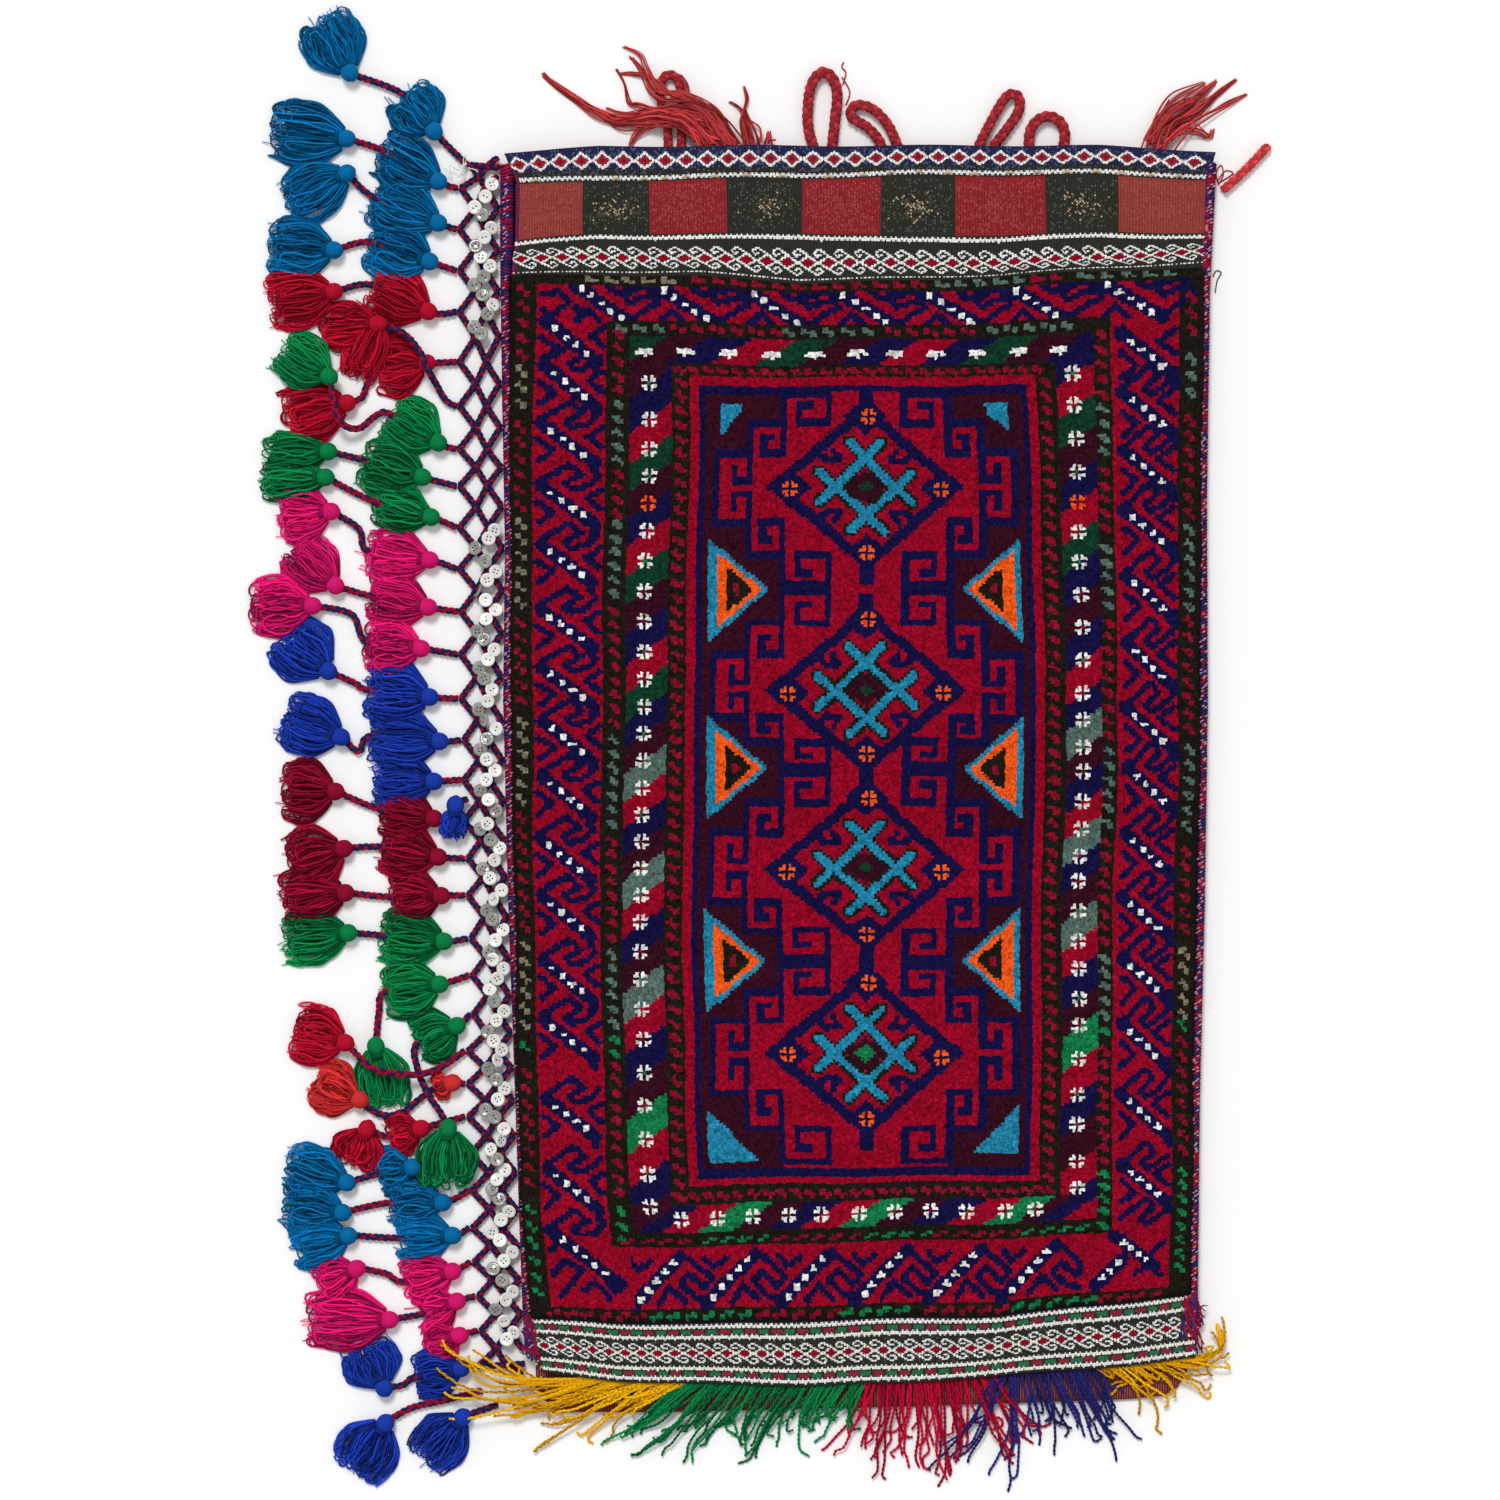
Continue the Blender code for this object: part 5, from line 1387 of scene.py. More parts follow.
@dataclass
class Tassel:
    """One tassel: a felted ball, its tie and a skirt of looped yarns."""

    head: tuple[float, float, float]
    tip: tuple[float, float, float]
    half_width: float
    seed: int
    ball_radius: float = 6.3
    yarn_radius: float = 0.68
    height: float = 10.0

    def axis(self) -> tuple[np.ndarray, np.ndarray, np.ndarray, float]:
        """Work out how the tassel lies.

        Returns:
            The head's place, the ways along and across the skirt, and its length.
        """
        head, tip = np.array(self.head, float), np.array(self.tip, float)
        going = tip - head
        length = float(np.linalg.norm(going))
        going /= length
        across = np.array((-going[1], going[0], 0.0))
        return head, going, across / np.linalg.norm(across), length

    def ball(self) -> list[Strand]:
        """Make the ball and the tie below it, as thick turned lengths.

        Returns:
            The ball and the tie.
        """
        head, going, _, _ = self.axis()
        radius = min(self.ball_radius, self.half_width)
        share = np.linspace(-1, 1, 9)
        middle = head + going * 0.6 + np.array((0, 0, radius + 0.2))
        points = middle + going * (share * radius * 1.12)[:, None]
        around = radius * np.sqrt(np.maximum(0.02, 1 - share ** 2))
        tie = middle + going * (np.array((0.75, 0.95, 1.15, 1.35)) * radius)[:, None]
        return [Strand(points, around, 1),
                Strand(tie, np.array((0.62, 0.78, 0.78, 0.7)) * radius, 0)]

    def yarn(self, rng: np.random.Generator, side: float, layer: float, reach: float,
             shares: np.ndarray) -> np.ndarray:
        """Lay one yarn of the skirt.

        Args:
            rng: Source of the unevennesses.
            side: Where it lies across the skirt, from -1 to 1.
            layer: How high it lies in the skirt, from 0 to 1.
            reach: Length of the skirt.
            shares: Shares of that length at which the places are.

        Returns:
            The places, in millimetres.
        """
        head, going, across, _ = self.axis()
        spread = 0.40 + 0.72 * np.sin(np.minimum(1, shares / 0.5) * math.pi / 2)
        spread -= 0.14 * np.clip((shares - 0.7) / 0.3, 0, 1)
        wander = rng.uniform(0.5, 2.2) * np.sin(shares * rng.uniform(3, 9) + rng.uniform(0, 6))
        off = side * self.half_width * 1.12 * spread + wander * np.minimum(1, shares * 3)
        dome = math.sqrt(max(0.06, 1 - side ** 2))
        tall = self.height * dome * (0.75 + 0.5 * np.sin(shares * 2.6) - 0.62 * shares)
        points = head + going * (3.0 + shares * reach)[:, None] + across * off[:, None]
        points[:, 2] += np.maximum(0.8, 0.8 + layer * tall)
        return points

    def skirt(self) -> list[Strand]:
        """Make the skirt: each yarn runs out, turns and comes back, and a few are stray.

        Returns:
            The yarns.
        """
        rng = np.random.default_rng(self.seed)
        reach = self.axis()[3] - 4.0
        count = int(26 + 1.1 * self.half_width)
        out = np.linspace(0, 1, 8)
        yarns = []
        for index in range(count):
            side = -1 + 2 * (index + rng.uniform(0, 1)) / count
            layer = 0.30 + 0.70 * rng.uniform(0, 1) ** 0.7
            end = rng.uniform(0.78, 1.08)
            there = self.yarn(rng, side, layer, reach, out * end)
            turned = float(np.clip(side + rng.uniform(0.18, 0.55) * rng.choice((-1, 1)), -1, 1))
            back = self.yarn(rng, turned, layer * rng.uniform(0.5, 1.0), reach,
                             out[::-1] * end * rng.uniform(0.88, 0.98))
            tip = (there[-1] + back[0]) / 2 + self.axis()[1] * rng.uniform(1.0, 3.0)
            path = smooth(np.vstack((there, tip, back)), 3.0)
            path[:, 2] = np.maximum(path[:, 2], 0.8)
            yarns.append(Strand(path, self.yarn_radius * rng.uniform(0.85, 1.15),
                                int(rng.choice(LOOSE_TONES_AND_SHADES))))
        for _ in range(5):
            side = rng.uniform(-1, 1)
            path = self.yarn(rng, side, 0.5, reach, out * rng.uniform(1.04, 1.18))
            path[:, :2] += np.cumsum(rng.normal(0, 0.5, (8, 2)), axis=0)
            path[:, 2] = np.maximum(path[:, 2], 0.5)
            yarns.append(Strand(smooth(path, 3.4), 0.34, 2))
        return yarns

    def core(self) -> list[Strand]:
        """Make the flat heart of the skirt, which stops the floor from showing through; it takes
        the dye's dark finish as painted shade deep among the yarns.

        Returns:
            The heart, as one thick length.
        """
        head, going, _, length = self.axis()
        share = np.array((0.16, 0.3, 0.55, 0.72, 0.84))
        points = head + going * (share * length)[:, None]
        points[:, 2] += 2.6
        width = self.half_width * np.array((0.3, 0.66, 0.88, 0.8, 0.45))
        # Dark finish: painted shade deep among the yarns
        return [Strand(points, width, 0)]


def flatten(mesh: bpy.types.Mesh, level: float, share: float) -> bpy.types.Mesh:
    """Press a mesh flat.

    Args:
        mesh: The mesh.
        level: Height in millimetres that stays where it is.
        share: How much of the other heights is left.

    Returns:
        The same mesh.
    """
    for vertex in mesh.vertices:
        vertex.co.z = level * MM + (vertex.co.z - level * MM) * share
    return mesh


@dataclass
class TasselledBraid:
    """One braid off the net with the tassels that it carries."""

    index: int
    dye: Dye
    root: tuple
    inner: tuple | None
    via: tuple
    outer: tuple | None
    radius: float = 2.6
    pitch: float = 12.5
    shortest_cord: float = 0.0325
    star: int = 7
    star_skirt: tuple = ((-333, 321, 5), (-350, 283, 1), 12)
    heart_level: float = 2.9

    def route(self) -> np.ndarray:
        """Lay the braid from the net to its last tassel.

        Returns:
            Its places in millimetres.
        """
        places = [self.root]
        if self.inner:
            places += self.inner[:2] if self.outer else self.inner[:1]
        places += self.via
        if self.outer:
            places.append(self.outer[0])
        return smooth([(x, y, lift + self.radius + 0.2) for x, y, lift in map(raised, places)], 0.9)

    def build(self) -> None:
        """Build the braid and its tassels."""
        path = self.route()
        name = f"braid_{self.index:02d}"
        slots = (0, 1, self.index % 2)
        mesh = yarn_mesh(name, plait(path, self.radius, self.pitch, slots, self.index), 1)
        braid = add_piece(name, mesh, BRAID_FINISHES, self.dye.slot_name(),
                          [f"tassel_strand_{self.index:02d}"])
        tassels = [self.build_tassel(place, given)
                   for place, given in (("inner", self.inner), ("outer", self.outer)) if given]

    def build_tassel(self, place: str, given: tuple) -> bpy.types.Object:
        """Build a tassel on this braid.

        Args:
            place: Which of its tassels it is, inner or outer.
            given: The tassel's head, its tip and half its width.

        Returns:
            The piece.
        """
        head, tip = map(raised, given[:2])
        tassel = Tassel(head, tip, given[2], 100 * self.index + len(place))
        level = 0.5 * (head[2] + tip[2]) + self.heart_level
        name = f"tassel_{self.index:02d}_{place}"
        meshes = [yarn_mesh("ball", tassel.ball(), 4),
                  flatten(yarn_mesh("heart", tassel.core(), 2), level, 0.17),
                  yarn_mesh("skirt", tassel.skirt())]
        if self.index == self.star:
            meshes.append(yarn_mesh("second_skirt", Tassel(*self.star_skirt, 799).skirt()))
        return add_piece(name, joined(name, meshes), self.dye.finishes(), self.dye.slot_name())


@dataclass
class ButtonNet:
    """The braided lattice between the binding and the tassels, with its buttons."""

    radius: float = 2.5
    column_shares: tuple[float, float, float, float] = (0.0, 0.34, 0.67, 1.0)
    root_clearance: float = 5.4
    attach_clearance: float = 3.2
    zones: tuple = ((416.0, 16), (175.0, 82))
    spacing: float = 7.0
    across: tuple[float, ...] = (0.76, 0.58, 0.34, 0.52)
    white: ButtonFinish = ButtonFinish("button_white", (232, 231, 226), spread=0.03,
                                       roughness=0.32)
    clear: ButtonFinish = ButtonFinish("button_clear", (196, 196, 190), spread=0.06,
                                       roughness=0.22, clear=0.55)
    # Dark discs in the button's holes: partly the thread through them, partly painted shade in the
    # holes
    thread_and_hole_shade: Finish = Finish("button_thread_and_hole_shade", (52, 34, 44), spread=0.2)

    def columns(self) -> list[list[Pair]]:
        """Work out where the lattice's braids cross.

        Returns:
            The crossing places in four columns, from the braids inwards.
        """
        roots = [root for _, root, *_ in STRANDS if len(root) == 2][:-2]
        whole = [(x + self.root_clearance, y) for x, y in roots]
        (top_x, top_y), (low_x, low_y) = whole[0], whole[-1]
        ends = [(top_x, top_y + 10), *whole, (low_x, low_y - 10)]
        halves = [((a[0] + b[0]) / 2, (a[1] + b[1]) / 2) for a, b in zip(ends, ends[1:])]
        return [[(x + (float(OUTLINE.left_at(y)) - self.attach_clearance - x) * share, y)
                 for x, y in points]
                for points, share in zip((whole, halves) * 2, self.column_shares)]

    def lattice(self) -> list[Strand]:
        """Plait the lattice's braids, one way and the other.

        Returns:
            Their strands.
        """
        tips, inner, knots, anchors = self.columns()
        braids = []
        last = len(tips) - 1
        for index, tip in enumerate(tips):
            for way in (0, 1):
                step = 1 if way else -1
                following = index + step
                places = [(tip[0] - 3, tip[1], 2.9)]
                if 0 <= following <= last:
                    anchor = anchors[following + way]
                    places += [(*inner[index + way], 2.7 + 1.5 * way),
                               (*knots[following], 4.2 - 1.5 * way),
                               (anchor[0] + 1.5, anchor[1], 5.0)]
                else:
                    places.append((float(OUTLINE.left_at(tip[1])) - 0.5, tip[1] + 2.0 * step, 4.6))
                route = smooth(places, 0.9)
                braids += plait(route, self.radius, 11.0, (0, 1, 1), index * 1.7 + way)
        return braids

    def button_places(self) -> list[tuple[float, float, int]]:
        """Work out where the buttons sit, from the top down.

        Returns:
            Each button's place and its number in its zone.
        """
        tip_xs, tip_ys = zip(*self.columns()[0][::-1])
        places = []
        for top, count in self.zones:
            for index in range(count):
                y = top - index * self.spacing
                tip_x = float(np.interp(y, tip_ys, tip_xs))
                share = self.across[index % len(self.across)]
                places.append((tip_x + (float(OUTLINE.left_at(y)) - tip_x) * share, y, index))
        return places

    def button(self, four_holes: bool, slot: int) -> bpy.types.Mesh:
        """Make one button, lying flat at the origin.

        Args:
            four_holes: True for four holes, False for two.
            slot: Its finish.

        Returns:
            The mesh.
        """
        work = bmesh.new()
        profile = ((0, 0), (4.2, 0), (5.0, 0.7), (5.0, 1.4), (4.3, 1.9), (3.3, 1.5), (0, 1.2))
        points = [work.verts.new((x * MM, 0.0, z * MM)) for x, z in profile]
        edges = [work.edges.new(pair) for pair in zip(points, points[1:])]
        bmesh.ops.spin(work, geom=[*points, *edges], axis=(0, 0, 1), cent=(0, 0, 0), steps=16,
                       angle=2 * math.pi, use_merge=True)
        bmesh.ops.remove_doubles(work, verts=work.verts, dist=0.00001)
        for face in work.faces:
            face.material_index = slot
        spots = ((1.2, 1.2), (-1.2, 1.2), (1.2, -1.2), (-1.2, -1.2)) if four_holes else (
            (1.3, 0), (-1.3, 0))
        for x, y in spots:
            made = bmesh.ops.create_cone(work, cap_ends=True, segments=6, radius1=0.62 * MM,
                                         radius2=0.62 * MM, depth=0.4 * MM)["verts"]
            bmesh.ops.translate(work, verts=made, vec=(x * MM, y * MM, 1.24 * MM))
            # The holes are dark discs: partly thread, partly painted shade
            for face in {face for vertex in made for face in vertex.link_faces}:
                face.material_index = 2
        bmesh.ops.recalc_face_normals(work, faces=work.faces)
        return mesh_of("button", work)

    def buttons(self) -> bpy.types.Mesh:
        """Sew every button on, each a little tilted.

        Returns:
            The mesh of all the buttons.
        """
        rng = np.random.default_rng(31)
        kinds = {(holes, slot): self.button(holes, slot) for holes in (True, False)
                 for slot in (0, 1)}
        work = bmesh.new()
        for x, y, index in self.button_places():
            slot = 1 if index % 4 == 2 or (index % 4 == 3 and rng.random() < 0.6) else 0
            if rng.random() < 0.08:
                slot = 1 - slot
            before = len(work.verts)
            work.from_mesh(kinds[(bool(rng.random() < 0.5), slot)])
            work.verts.ensure_lookup_table()
            added = work.verts[before:]
            tilt = 0.75 if rng.random() < 0.10 else 0.22
            turn = Euler((rng.normal(0, tilt), rng.normal(0, tilt), rng.uniform(0, 6.28)))
            height = 6.0 + 1.1 * (index % 2) + rng.uniform(0, 0.8)
            place = Vector((x + rng.normal(0, 0.8), y + rng.normal(0, 0.8), height)) * MM
            bmesh.ops.transform(work, matrix=Matrix.Translation(place) @ turn.to_matrix().to_4x4(),
                                verts=added)
        for kind in kinds.values():
            bpy.data.meshes.remove(kind)
        return mesh_of("buttons", work)

    def build(self) -> None:
        """Build the lattice and its buttons."""
        add_piece("net_lattice", yarn_mesh("net_lattice", self.lattice()), BRAID_FINISHES,
                  "net_braid", ["button_net"])
        add_piece("net_buttons", self.buttons(), [self.white, self.clear, self.thread_and_hole_shade], "net_braid")


@dataclass
class MouthCords:
    """Closure loops and cord ends along the mouth."""

    loops: tuple = (
        ("closure_loop_1", 3.5, ((-132.3, 444.6), (-133, 458.5), (-137.4, 476), (-137.9, 486),
         (-134.6, 493), (-129.6, 494), (-125.2, 490), (-123, 480), (-122.5, 465.5),
         (-123.2, 444.6))),
        ("closure_loop_2", 4.1, ((-30.8, 444.6), (-34.3, 458.5), (-34, 476), (-31, 489),
         (-23.8, 496), (-16.6, 491), (-13.8, 480), (-15, 465.5), (-17.2, 444.6))),
        ("closure_loop_3", 3.9, ((28.5, 444.8), (21.5, 459.5), (12, 469.4), (2.5, 473),
         (-3.6, 470.6), (-4, 464.8), (0.5, 461.4), (7, 457.6), (13.5, 451), (17, 444.8))),
        ("closure_loop_4", 3.9, ((85.6, 444.8), (92.5, 458.5), (99.5, 471.3), (105, 479),
         (110, 480.6), (114, 477), (113, 468), (105.5, 456.6), (96.3, 444.8))),
        ("closure_loop_5", 4.1, ((120.4, 444.8), (121.5, 455), (126.3, 462), (134, 465),
         (141.8, 461.6), (145.6, 454), (145, 444.8))))
    cut_end: tuple = ("cord_end_right", 3.4, ((256.8, 413.5), (268, 423.5), (279, 434.5),
                                              (288, 444.5)))
    frayed: tuple = (
        ("frayed_end_left", (
            (16, 2.4, ((706, 145), (694, 128), (676, 120), (656, 119), (620, 122), (600, 114),
             (580, 102), (560, 88), (542, 73))),
            (10, 2.0, ((700, 145), (684, 124), (660, 114), (630, 118), (604, 113), (578, 99),
             (550, 80))),
            (5, 0.9, ((718, 145), (700, 116), (676, 108), (656, 110), (640, 104), (629, 102),
             (624, 82), (616, 68))),
            (9, 1.6, ((738, 145), (716, 114), (690, 100), (664, 100), (650, 88), (641, 68),
             (630, 56))),
            (7, 1.4, ((733, 145), (712, 112), (686, 96), (662, 92), (648, 70), (640, 54),
             (624, 46))),
            (6, 1.2, ((728, 145), (700, 108), (672, 96), (652, 79), (634, 74), (619, 73))),
            (5, 1.0, ((736, 145), (718, 116), (698, 100), (688, 98), (687, 84), (680, 74))),
            (8, 2.2, ((712, 145), (690, 132), (668, 126), (648, 126), (636, 136), (630, 146))),
            (4, 1.3, ((716, 145), (690, 122), (650, 112), (626, 113), (606, 107))),
            (12, 2.6, ((728, 145), (706, 124), (684, 116), (660, 112), (634, 116), (610, 118))))),
        ("frayed_tuft", (
            (8, 1.2, ((752, 145), (748, 130), (744, 114), (747, 98), (744, 85))),
            (6, 1.0, ((746, 145), (742, 124), (742, 112), (736, 105), (729, 101))),
            (6, 1.4, ((760, 145), (756, 132), (750, 120), (746, 108))),
            (7, 1.8, ((770, 145), (768, 138), (769, 131))))),
        ("frayed_end_right", (
            (16, 2.6, ((1152, 145), (1162, 124), (1182, 108), (1200, 96), (1216, 80))),
            (10, 2.4, ((1160, 145), (1172, 126), (1194, 112), (1216, 94), (1236, 79))),
            (6, 1.6, ((1166, 145), (1180, 130), (1206, 116), (1230, 102), (1247, 93))),
            (8, 2.6, ((1158, 145), (1176, 130), (1196, 128), (1210, 136), (1213, 128))),
            (6, 1.8, ((1150, 145), (1160, 118), (1178, 98), (1198, 86), (1206, 82))),
            (3, 0.8, ((1152, 145), (1158, 122), (1164, 108), (1170, 99))))))

    def build(self) -> None:
        """Build the cords and the frayed ends."""
        for name, radius, places in (*self.loops, self.cut_end):
            route = [(x, y, radius + 0.15) for x, y in places]
            cut = name == self.cut_end[0]
            if not cut:
                route = [(route[0][0], route[0][1] - 3.0, 6.0), *route,
                         (route[-1][0], route[-1][1] - 3.0, 6.0)]
            path = smooth(route, 1.0)
            # Two middle strands and one light strand of one dye: the light strand is a painted
            # highlight on the plait's relief
            mesh = yarn_mesh(name + "_braid", plait(path, radius, 3.6 * radius, (1, 1, 2), 0.4), 1)
            dye = Dye.LOOP_LIGHT if cut else Dye.LOOP
            cord = add_piece(name + "_braid", mesh, dye.finishes(), "closure_cord", [name])
        for index, (name, locks) in enumerate(self.frayed):
            self.fray(name, locks, 41 + index)

    def fray(self, name: str, locks: Sequence, seed: int) -> None:
        """Build one unravelled cord end.

        Args:
            name: The solid that it stands for.
            locks: For each lock, its number of yarns, its looseness and the chart places it
                passes from the mouth to its tip.
            seed: Seed of the unevennesses.
        """
        rng = np.random.default_rng(seed)
        yarns = []
        for count, loose, places in locks:
            across, down = np.array(places, float).T
            middle = np.stack(plan_of_chart(across, down), 1)
            share = np.linspace(0, 1, len(places))
            for _ in range(count):
                width = loose * (1.6 - 1.25 * share)[:, None]
                route = middle + rng.normal(0, 1, middle.shape) * 0.55 * width
                route += rng.normal(0, 0.8, 2) * width
                crossing = np.exp(-((middle[:, 0] + 128) / 16) ** 2) if "left" in name else 0
                level = 1.0 + 5.5 * (1 - share) ** 2 + rng.uniform(0, 2.4) + 7.6 * crossing
                level *= 1 - 0.7 * share ** 3
                path = smooth(np.column_stack((route, np.maximum(0.8, level))), 2.4)
                taper = 1 - 0.55 * np.linspace(0, 1, len(path)) ** 3
                yarns.append(Strand(path, rng.uniform(0.5, 0.85) * taper,
                                    int(rng.choice(LOOSE_TONES_AND_SHADES))))
        add_piece(name + "_yarns", yarn_mesh(name + "_yarns", yarns),
                  Dye.LOOP_LIGHT.finishes(), "closure_cord", [name])


@dataclass(frozen=True)
class FringeClump:
    """One colour of the fringe: where its yarns are sewn in and where they end, on the chart."""

    name: str
    dye: Dye
    count: int
    roots: Pair
    tips: tuple[Pair, ...]
    bend: Pair
    lift: float = 0.0


FRINGE = (
    FringeClump("fringe_yellow_left", Dye.YELLOW, 56, (556, 676), ((441, 1352), (446, 1393),
        (470, 1347), (452, 1404), (488, 1353), (478, 1412), (508, 1384), (512, 1404), (535, 1447),
        (528, 1392), (560, 1412), (577, 1440), (570, 1386), (604, 1424), (596, 1392), (622, 1402),
        (640, 1388)), (-20, 14), 7.0),
    FringeClump("fringe_green", Dye.GREEN, 74, (664, 866), ((611, 1443), (626, 1426), (635, 1456),
        (650, 1454), (672, 1440), (693, 1461), (712, 1446), (729, 1454), (742, 1440), (756, 1454),
        (768, 1432), (782, 1440), (798, 1443), (812, 1430), (829, 1433), (852, 1428)), (-8, 10)),
    FringeClump("fringe_crimson", Dye.CRIMSON, 50, (864, 1000), ((819, 1459), (861, 1485),
        (882, 1483), (886, 1452), (898, 1469), (919, 1480), (926, 1450), (934, 1468), (950, 1493),
        (958, 1462), (966, 1453), (980, 1470), (1011, 1464), (1035, 1459), (1045, 1446)), (2, 8)),
    FringeClump("fringe_navy", Dye.NAVY, 44, (992, 1106), ((935, 1464), (953, 1467), (1000, 1482),
        (1026, 1440), (1046, 1446), (1061, 1448), (1078, 1444), (1093, 1456), (1108, 1440),
        (1124, 1446), (1132, 1427), (1120, 1410)), (4, 10)),
    FringeClump("fringe_yellow_right", Dye.YELLOW, 36, (1100, 1204), ((1093, 1366), (1124, 1388),
        (1156, 1430), (1140, 1380), (1190, 1409), (1170, 1378), (1214, 1401), (1206, 1372),
        (1222, 1352), (1219, 1340), (1229, 1330)), (14, 6), 2.0))


@dataclass
class Fringe:
    """Plied yarn fringe sewn into the lower seam."""

    radius: float = 1.15
    pitch: float = 6.5
    edge_row: float = 1379.0
    loose: float = 4.0

    def level(self, x: np.ndarray, y: np.ndarray) -> np.ndarray:
        """Return the lowest height a yarn can have: on the back panel or on the floor."""
        back = OUTLINE.read(OUTLINE.back_lower, x)
        return self.radius + 0.2 + 3.1 * np.clip((y - back + 7) / 8, 0, 1)

    def build(self) -> None:
        """Build every clump."""
        for index, clump in enumerate(FRINGE):
            rng = np.random.default_rng(61 + index)
            strands = []
            for number in range(clump.count):
                strands += self.yarn(clump, (number + rng.uniform(0, 1)) / clump.count, rng)
            add_piece(clump.name + "_yarns", yarn_mesh(clump.name + "_yarns", strands),
                      clump.dye.finishes(), clump.dye.slot_name(), [clump.name])

    def yarn(self, clump: FringeClump, share: float, rng: np.random.Generator) -> list[Strand]:
        """Ply one yarn of a clump.

        Args:
            clump: The clump it belongs to.
            share: Where along the clump's seam it is sewn in, from 0 to 1.
            rng: Source of the unevennesses.

        Returns:
            Its two plies.
        """
        across = clump.roots[0] + share * (clump.roots[1] - clump.roots[0])
        root = np.array(place(np.array([across]), np.array([self.edge_row]))).ravel()
        pick = int(np.clip(share * len(clump.tips) + rng.normal(0, 0.5), 0, len(clump.tips) - 1))
        tip = np.array(plan_of_chart(*clump.tips[pick])) + rng.normal(0, self.loose, 2)
        tip = root + (tip - root) * rng.uniform(0.66, 1.03)
        bend = np.array((clump.bend[0], -clump.bend[1])) * QUARTER_KNOT
        shares = np.array((0, 0.08, 0.3, 0.52, 0.75, 0.9, 1.0))[:, None]
        route = root * (1 - shares) + tip * shares + bend * np.sin(shares * math.pi)
        route[1:] += np.cumsum(rng.normal(0, 2.6, (6, 2)), axis=0) * shares[1:]
        floor = self.level(route[:, 0], route[:, 1])
        rise = (1 - shares[:, 0]) ** 2.2
        high = floor + rng.uniform(0.2, 4.2) * np.sin(shares[:, 0] * 2.8) + 5.0 * rise
        high += clump.lift * np.clip((OUTLINE.left_at(route[:, 1]) + 10 - route[:, 0]) / 20, 0, 1)
        path = smooth(np.column_stack((route, np.maximum(floor, high))), 1.7)
        dark, light = ((0, 1), (1, 2), (1, 1))[int(rng.integers(3))]
        return plait(path, self.radius, self.pitch, (dark, light), rng.uniform(0, 6))


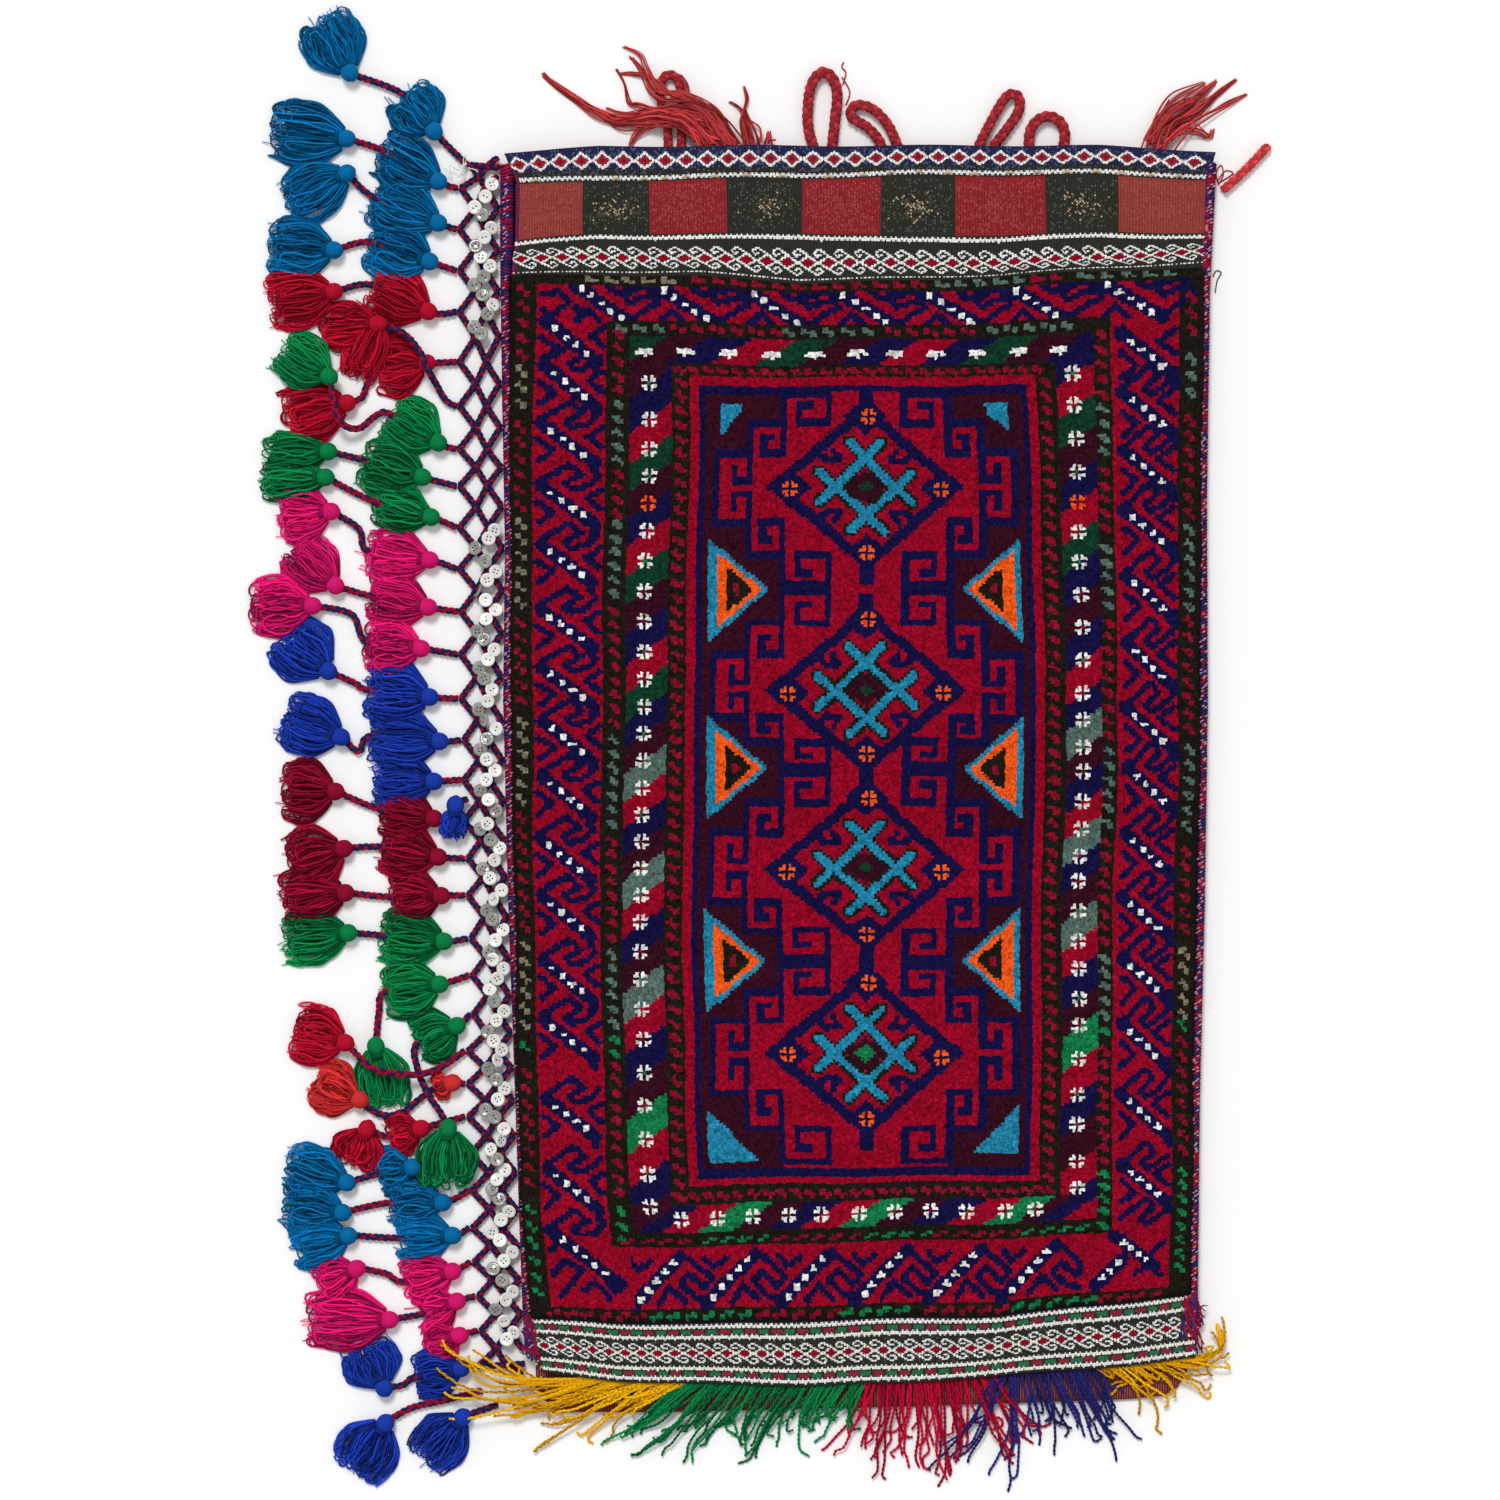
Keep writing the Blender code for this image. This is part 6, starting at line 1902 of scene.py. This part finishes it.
@dataclass
class LooseThreads:
    """Small threads that lie about: running stitches, a tie, strays and frays.

    Strays are given as finish, radius and places on the chart, and frays as finish, number of
    threads and their start, middle and end on the chart with the height of each.
    """

    STITCH, TIE, FRAY_RED, FRAY_NAVY = 0, 3, 4, 5

    stitches: tuple[float, ...] = (533, 617, 645, 666, 687, 715, 747, 782, 828, 862, 890, 919, 948,
                                   975, 1010, 1038, 1067, 1096, 1121, 1150, 1177)
    strays: tuple = (
        (1, 0.5, ((843, 84), (846, 72), (842, 66), (844, 61))),
        (1, 0.5, ((846, 104), (850, 92), (846, 82), (842, 76))),
        (2, 0.4, ((1216, 292), (1218, 280), (1222, 272), (1217, 270), (1214, 276))),
        (1, 0.45, ((1219, 179), (1226, 170), (1234, 172), (1226, 178), (1219, 182))),
        (1, 0.45, ((1219, 182), (1217, 172), (1222, 164), (1224, 174), (1219, 184))),
    )
    frays: tuple = (
        (4, 11, ((1187, 1298, 13.4), (1188, 1312, 13.2), (1192, 1325, 12.0))),
        (5, 11, ((1193, 1294, 13.4), (1195, 1308, 12.8), (1200, 1325, 7.5))),
        (4, 6, ((1195, 1296, 13.0), (1198, 1304, 11.6), (1202, 1313, 8.0))),
        (5, 16, ((1182, 1320, 11.5), (1185, 1334, 11.5), (1191, 1348, 7.5))),
        (4, 12, ((1191, 1320, 13.0), (1194, 1334, 12.2), (1198, 1349, 6.0))),
        (4, 16, ((528, 1316, 13.2), (532, 1334, 12.4), (538, 1351, 10.0))),
        (5, 12, ((525, 1330, 13.2), (529, 1344, 12.0), (534, 1356, 7.5))),
        (4, 10, ((523, 1346, 12.6), (530, 1352, 10.8), (538, 1357, 8.8))),
    )
    beige: Finish = Finish("stitch_beige", (196, 168, 140), grain=900.0)
    red: Finish = Finish("stray_red", (176, 40, 52), grain=900.0)
    navy: Finish = Finish("stray_navy", (40, 38, 80), grain=900.0)
    white: Finish = Finish("tie_white", (232, 230, 224), grain=900.0)
    fray_red: Finish = Finish("fray_red", (166, 22, 58), grain=900.0)
    fray_navy: Finish = Finish("fray_navy", (54, 50, 104), grain=900.0)

    def build(self) -> None:
        """Build all the threads."""
        rng = np.random.default_rng(71)
        threads = []
        for across in self.stitches:
            places = np.array(((across - 4.2, 178), (across - 2.4, 177), (across, 176.4),
                               (across + 2.4, 177), (across + 4.2, 178.0)))
            x, y = place(places[:, 0], places[:, 1] + rng.normal(0, 0.6))
            plan_x, plan_y = plan_of_chart(places[:, 0], places[:, 1])
            z = OUTLINE.height(plan_x, plan_y) + np.array((-0.7, 0.35, 0.7, 0.35, -0.7))
            threads.append(Strand(np.stack((x, y, z), 1), rng.uniform(0.8, 1.1), self.STITCH))
        for finish, radius, places in self.strays:
            x, y = plan_of_chart(*np.array(places, float).T)
            level = np.full(len(places), radius + 0.2)
            threads.append(Strand(smooth(np.stack((x, y, level), 1), 0.9), radius, finish))
        for finish, count, places in self.frays:
            across, down, level = np.array(places, float).T
            for _ in range(count):
                x, y = plan_of_chart(across + rng.normal(0, (2.0, 2.6, 4.0)),
                                     down + rng.normal(0, (2.0, 2.0, 4.0)))
                z = level + rng.uniform(-0.8, 0.8, 3)
                other = self.FRAY_RED + self.FRAY_NAVY - finish
                yarn = finish if rng.random() < 0.7 else other
                threads.append(Strand(smooth(np.stack((x, y, z), 1), 0.9), 0.5, yarn))
        for _ in range(7):
            start = np.array(plan_of_chart(464 + rng.uniform(-3, 3), 168 + rng.uniform(-3, 3)))
            points = start + np.cumsum(rng.normal(0, 2.0, (6, 2)), axis=0)
            level = 6.2 + rng.uniform(-0.8, 0.8, 6)
            threads.append(Strand(smooth(np.column_stack((points, level)), 0.9), 0.36, self.TIE))
        add_piece("loose_threads", yarn_mesh("loose_threads", threads),
                  [self.beige, self.red, self.navy, self.white, self.fray_red, self.fray_navy],
                  "seam_yarn")


@dataclass
class Studio:
    """Camera, lights and floor."""

    middle: Pair = (-0.0749, 0.0210)
    frame_width: float = 1.05
    distance: float = 4.2
    sensor: float = 36.0
    sun_strength: float = 1.75
    sun_spread: float = 18.0
    sun_turn: Pair = (-34.0, -10.0)
    sky_strength: float = 0.55
    white: tuple[float, float, float, float] = (1.0, 1.0, 1.0, 1.0)

    def build(self) -> None:
        """Set up the view and the light."""
        scene = bpy.context.scene
        lens = bpy.data.cameras.new("camera")
        lens.sensor_width = self.sensor
        lens.lens = self.sensor * self.distance / self.frame_width
        lens.clip_end = 50.0
        scene.camera = linked("camera", lens)
        scene.camera.location = (*self.middle, self.distance + 0.008)
        scene.view_settings.view_transform = "Standard"
        sun = bpy.data.lights.new("key", "SUN")
        sun.energy = self.sun_strength
        sun.angle = math.radians(self.sun_spread)
        linked("key", sun).rotation_euler = Euler((*map(math.radians, self.sun_turn), 0))
        scene.world = bpy.data.worlds.new("studio")
        scene.world.use_nodes = True
        set_sockets(scene.world.node_tree.nodes["Background"],
                    {"Color": self.white, "Strength": self.sky_strength})
        self.build_floor()

    def build_floor(self) -> None:
        """Lay the pale floor."""
        work = bmesh.new()
        bmesh.ops.create_grid(work, x_segments=1, y_segments=1, size=6.0)
        mesh = mesh_of("floor", work)
        paint = bpy.data.materials.new("floor_pale")
        paint.use_nodes = True
        set_sockets(paint.node_tree.nodes["Principled BSDF"],
                    {"Base Color": self.white, "Roughness": 0.9, "Specular IOR Level": 0.0})
        mesh.materials.append(paint)
        linked("floor", mesh)


def main() -> None:
    """Dress the bag, piece by piece."""
    logging.basicConfig(level=logging.INFO, format="%(message)s")
    Studio().build()
    for index, (dye, *places) in enumerate(STRANDS, 1):
        TasselledBraid(index, Dye[dye], *places).build()
    for group in (MouthCords(), ButtonNet(), Fringe(), LooseThreads(), Bindings(), Panels()):
        group.build()
    bpy.context.view_layer.update()


if __name__ == "__main__":
    main()
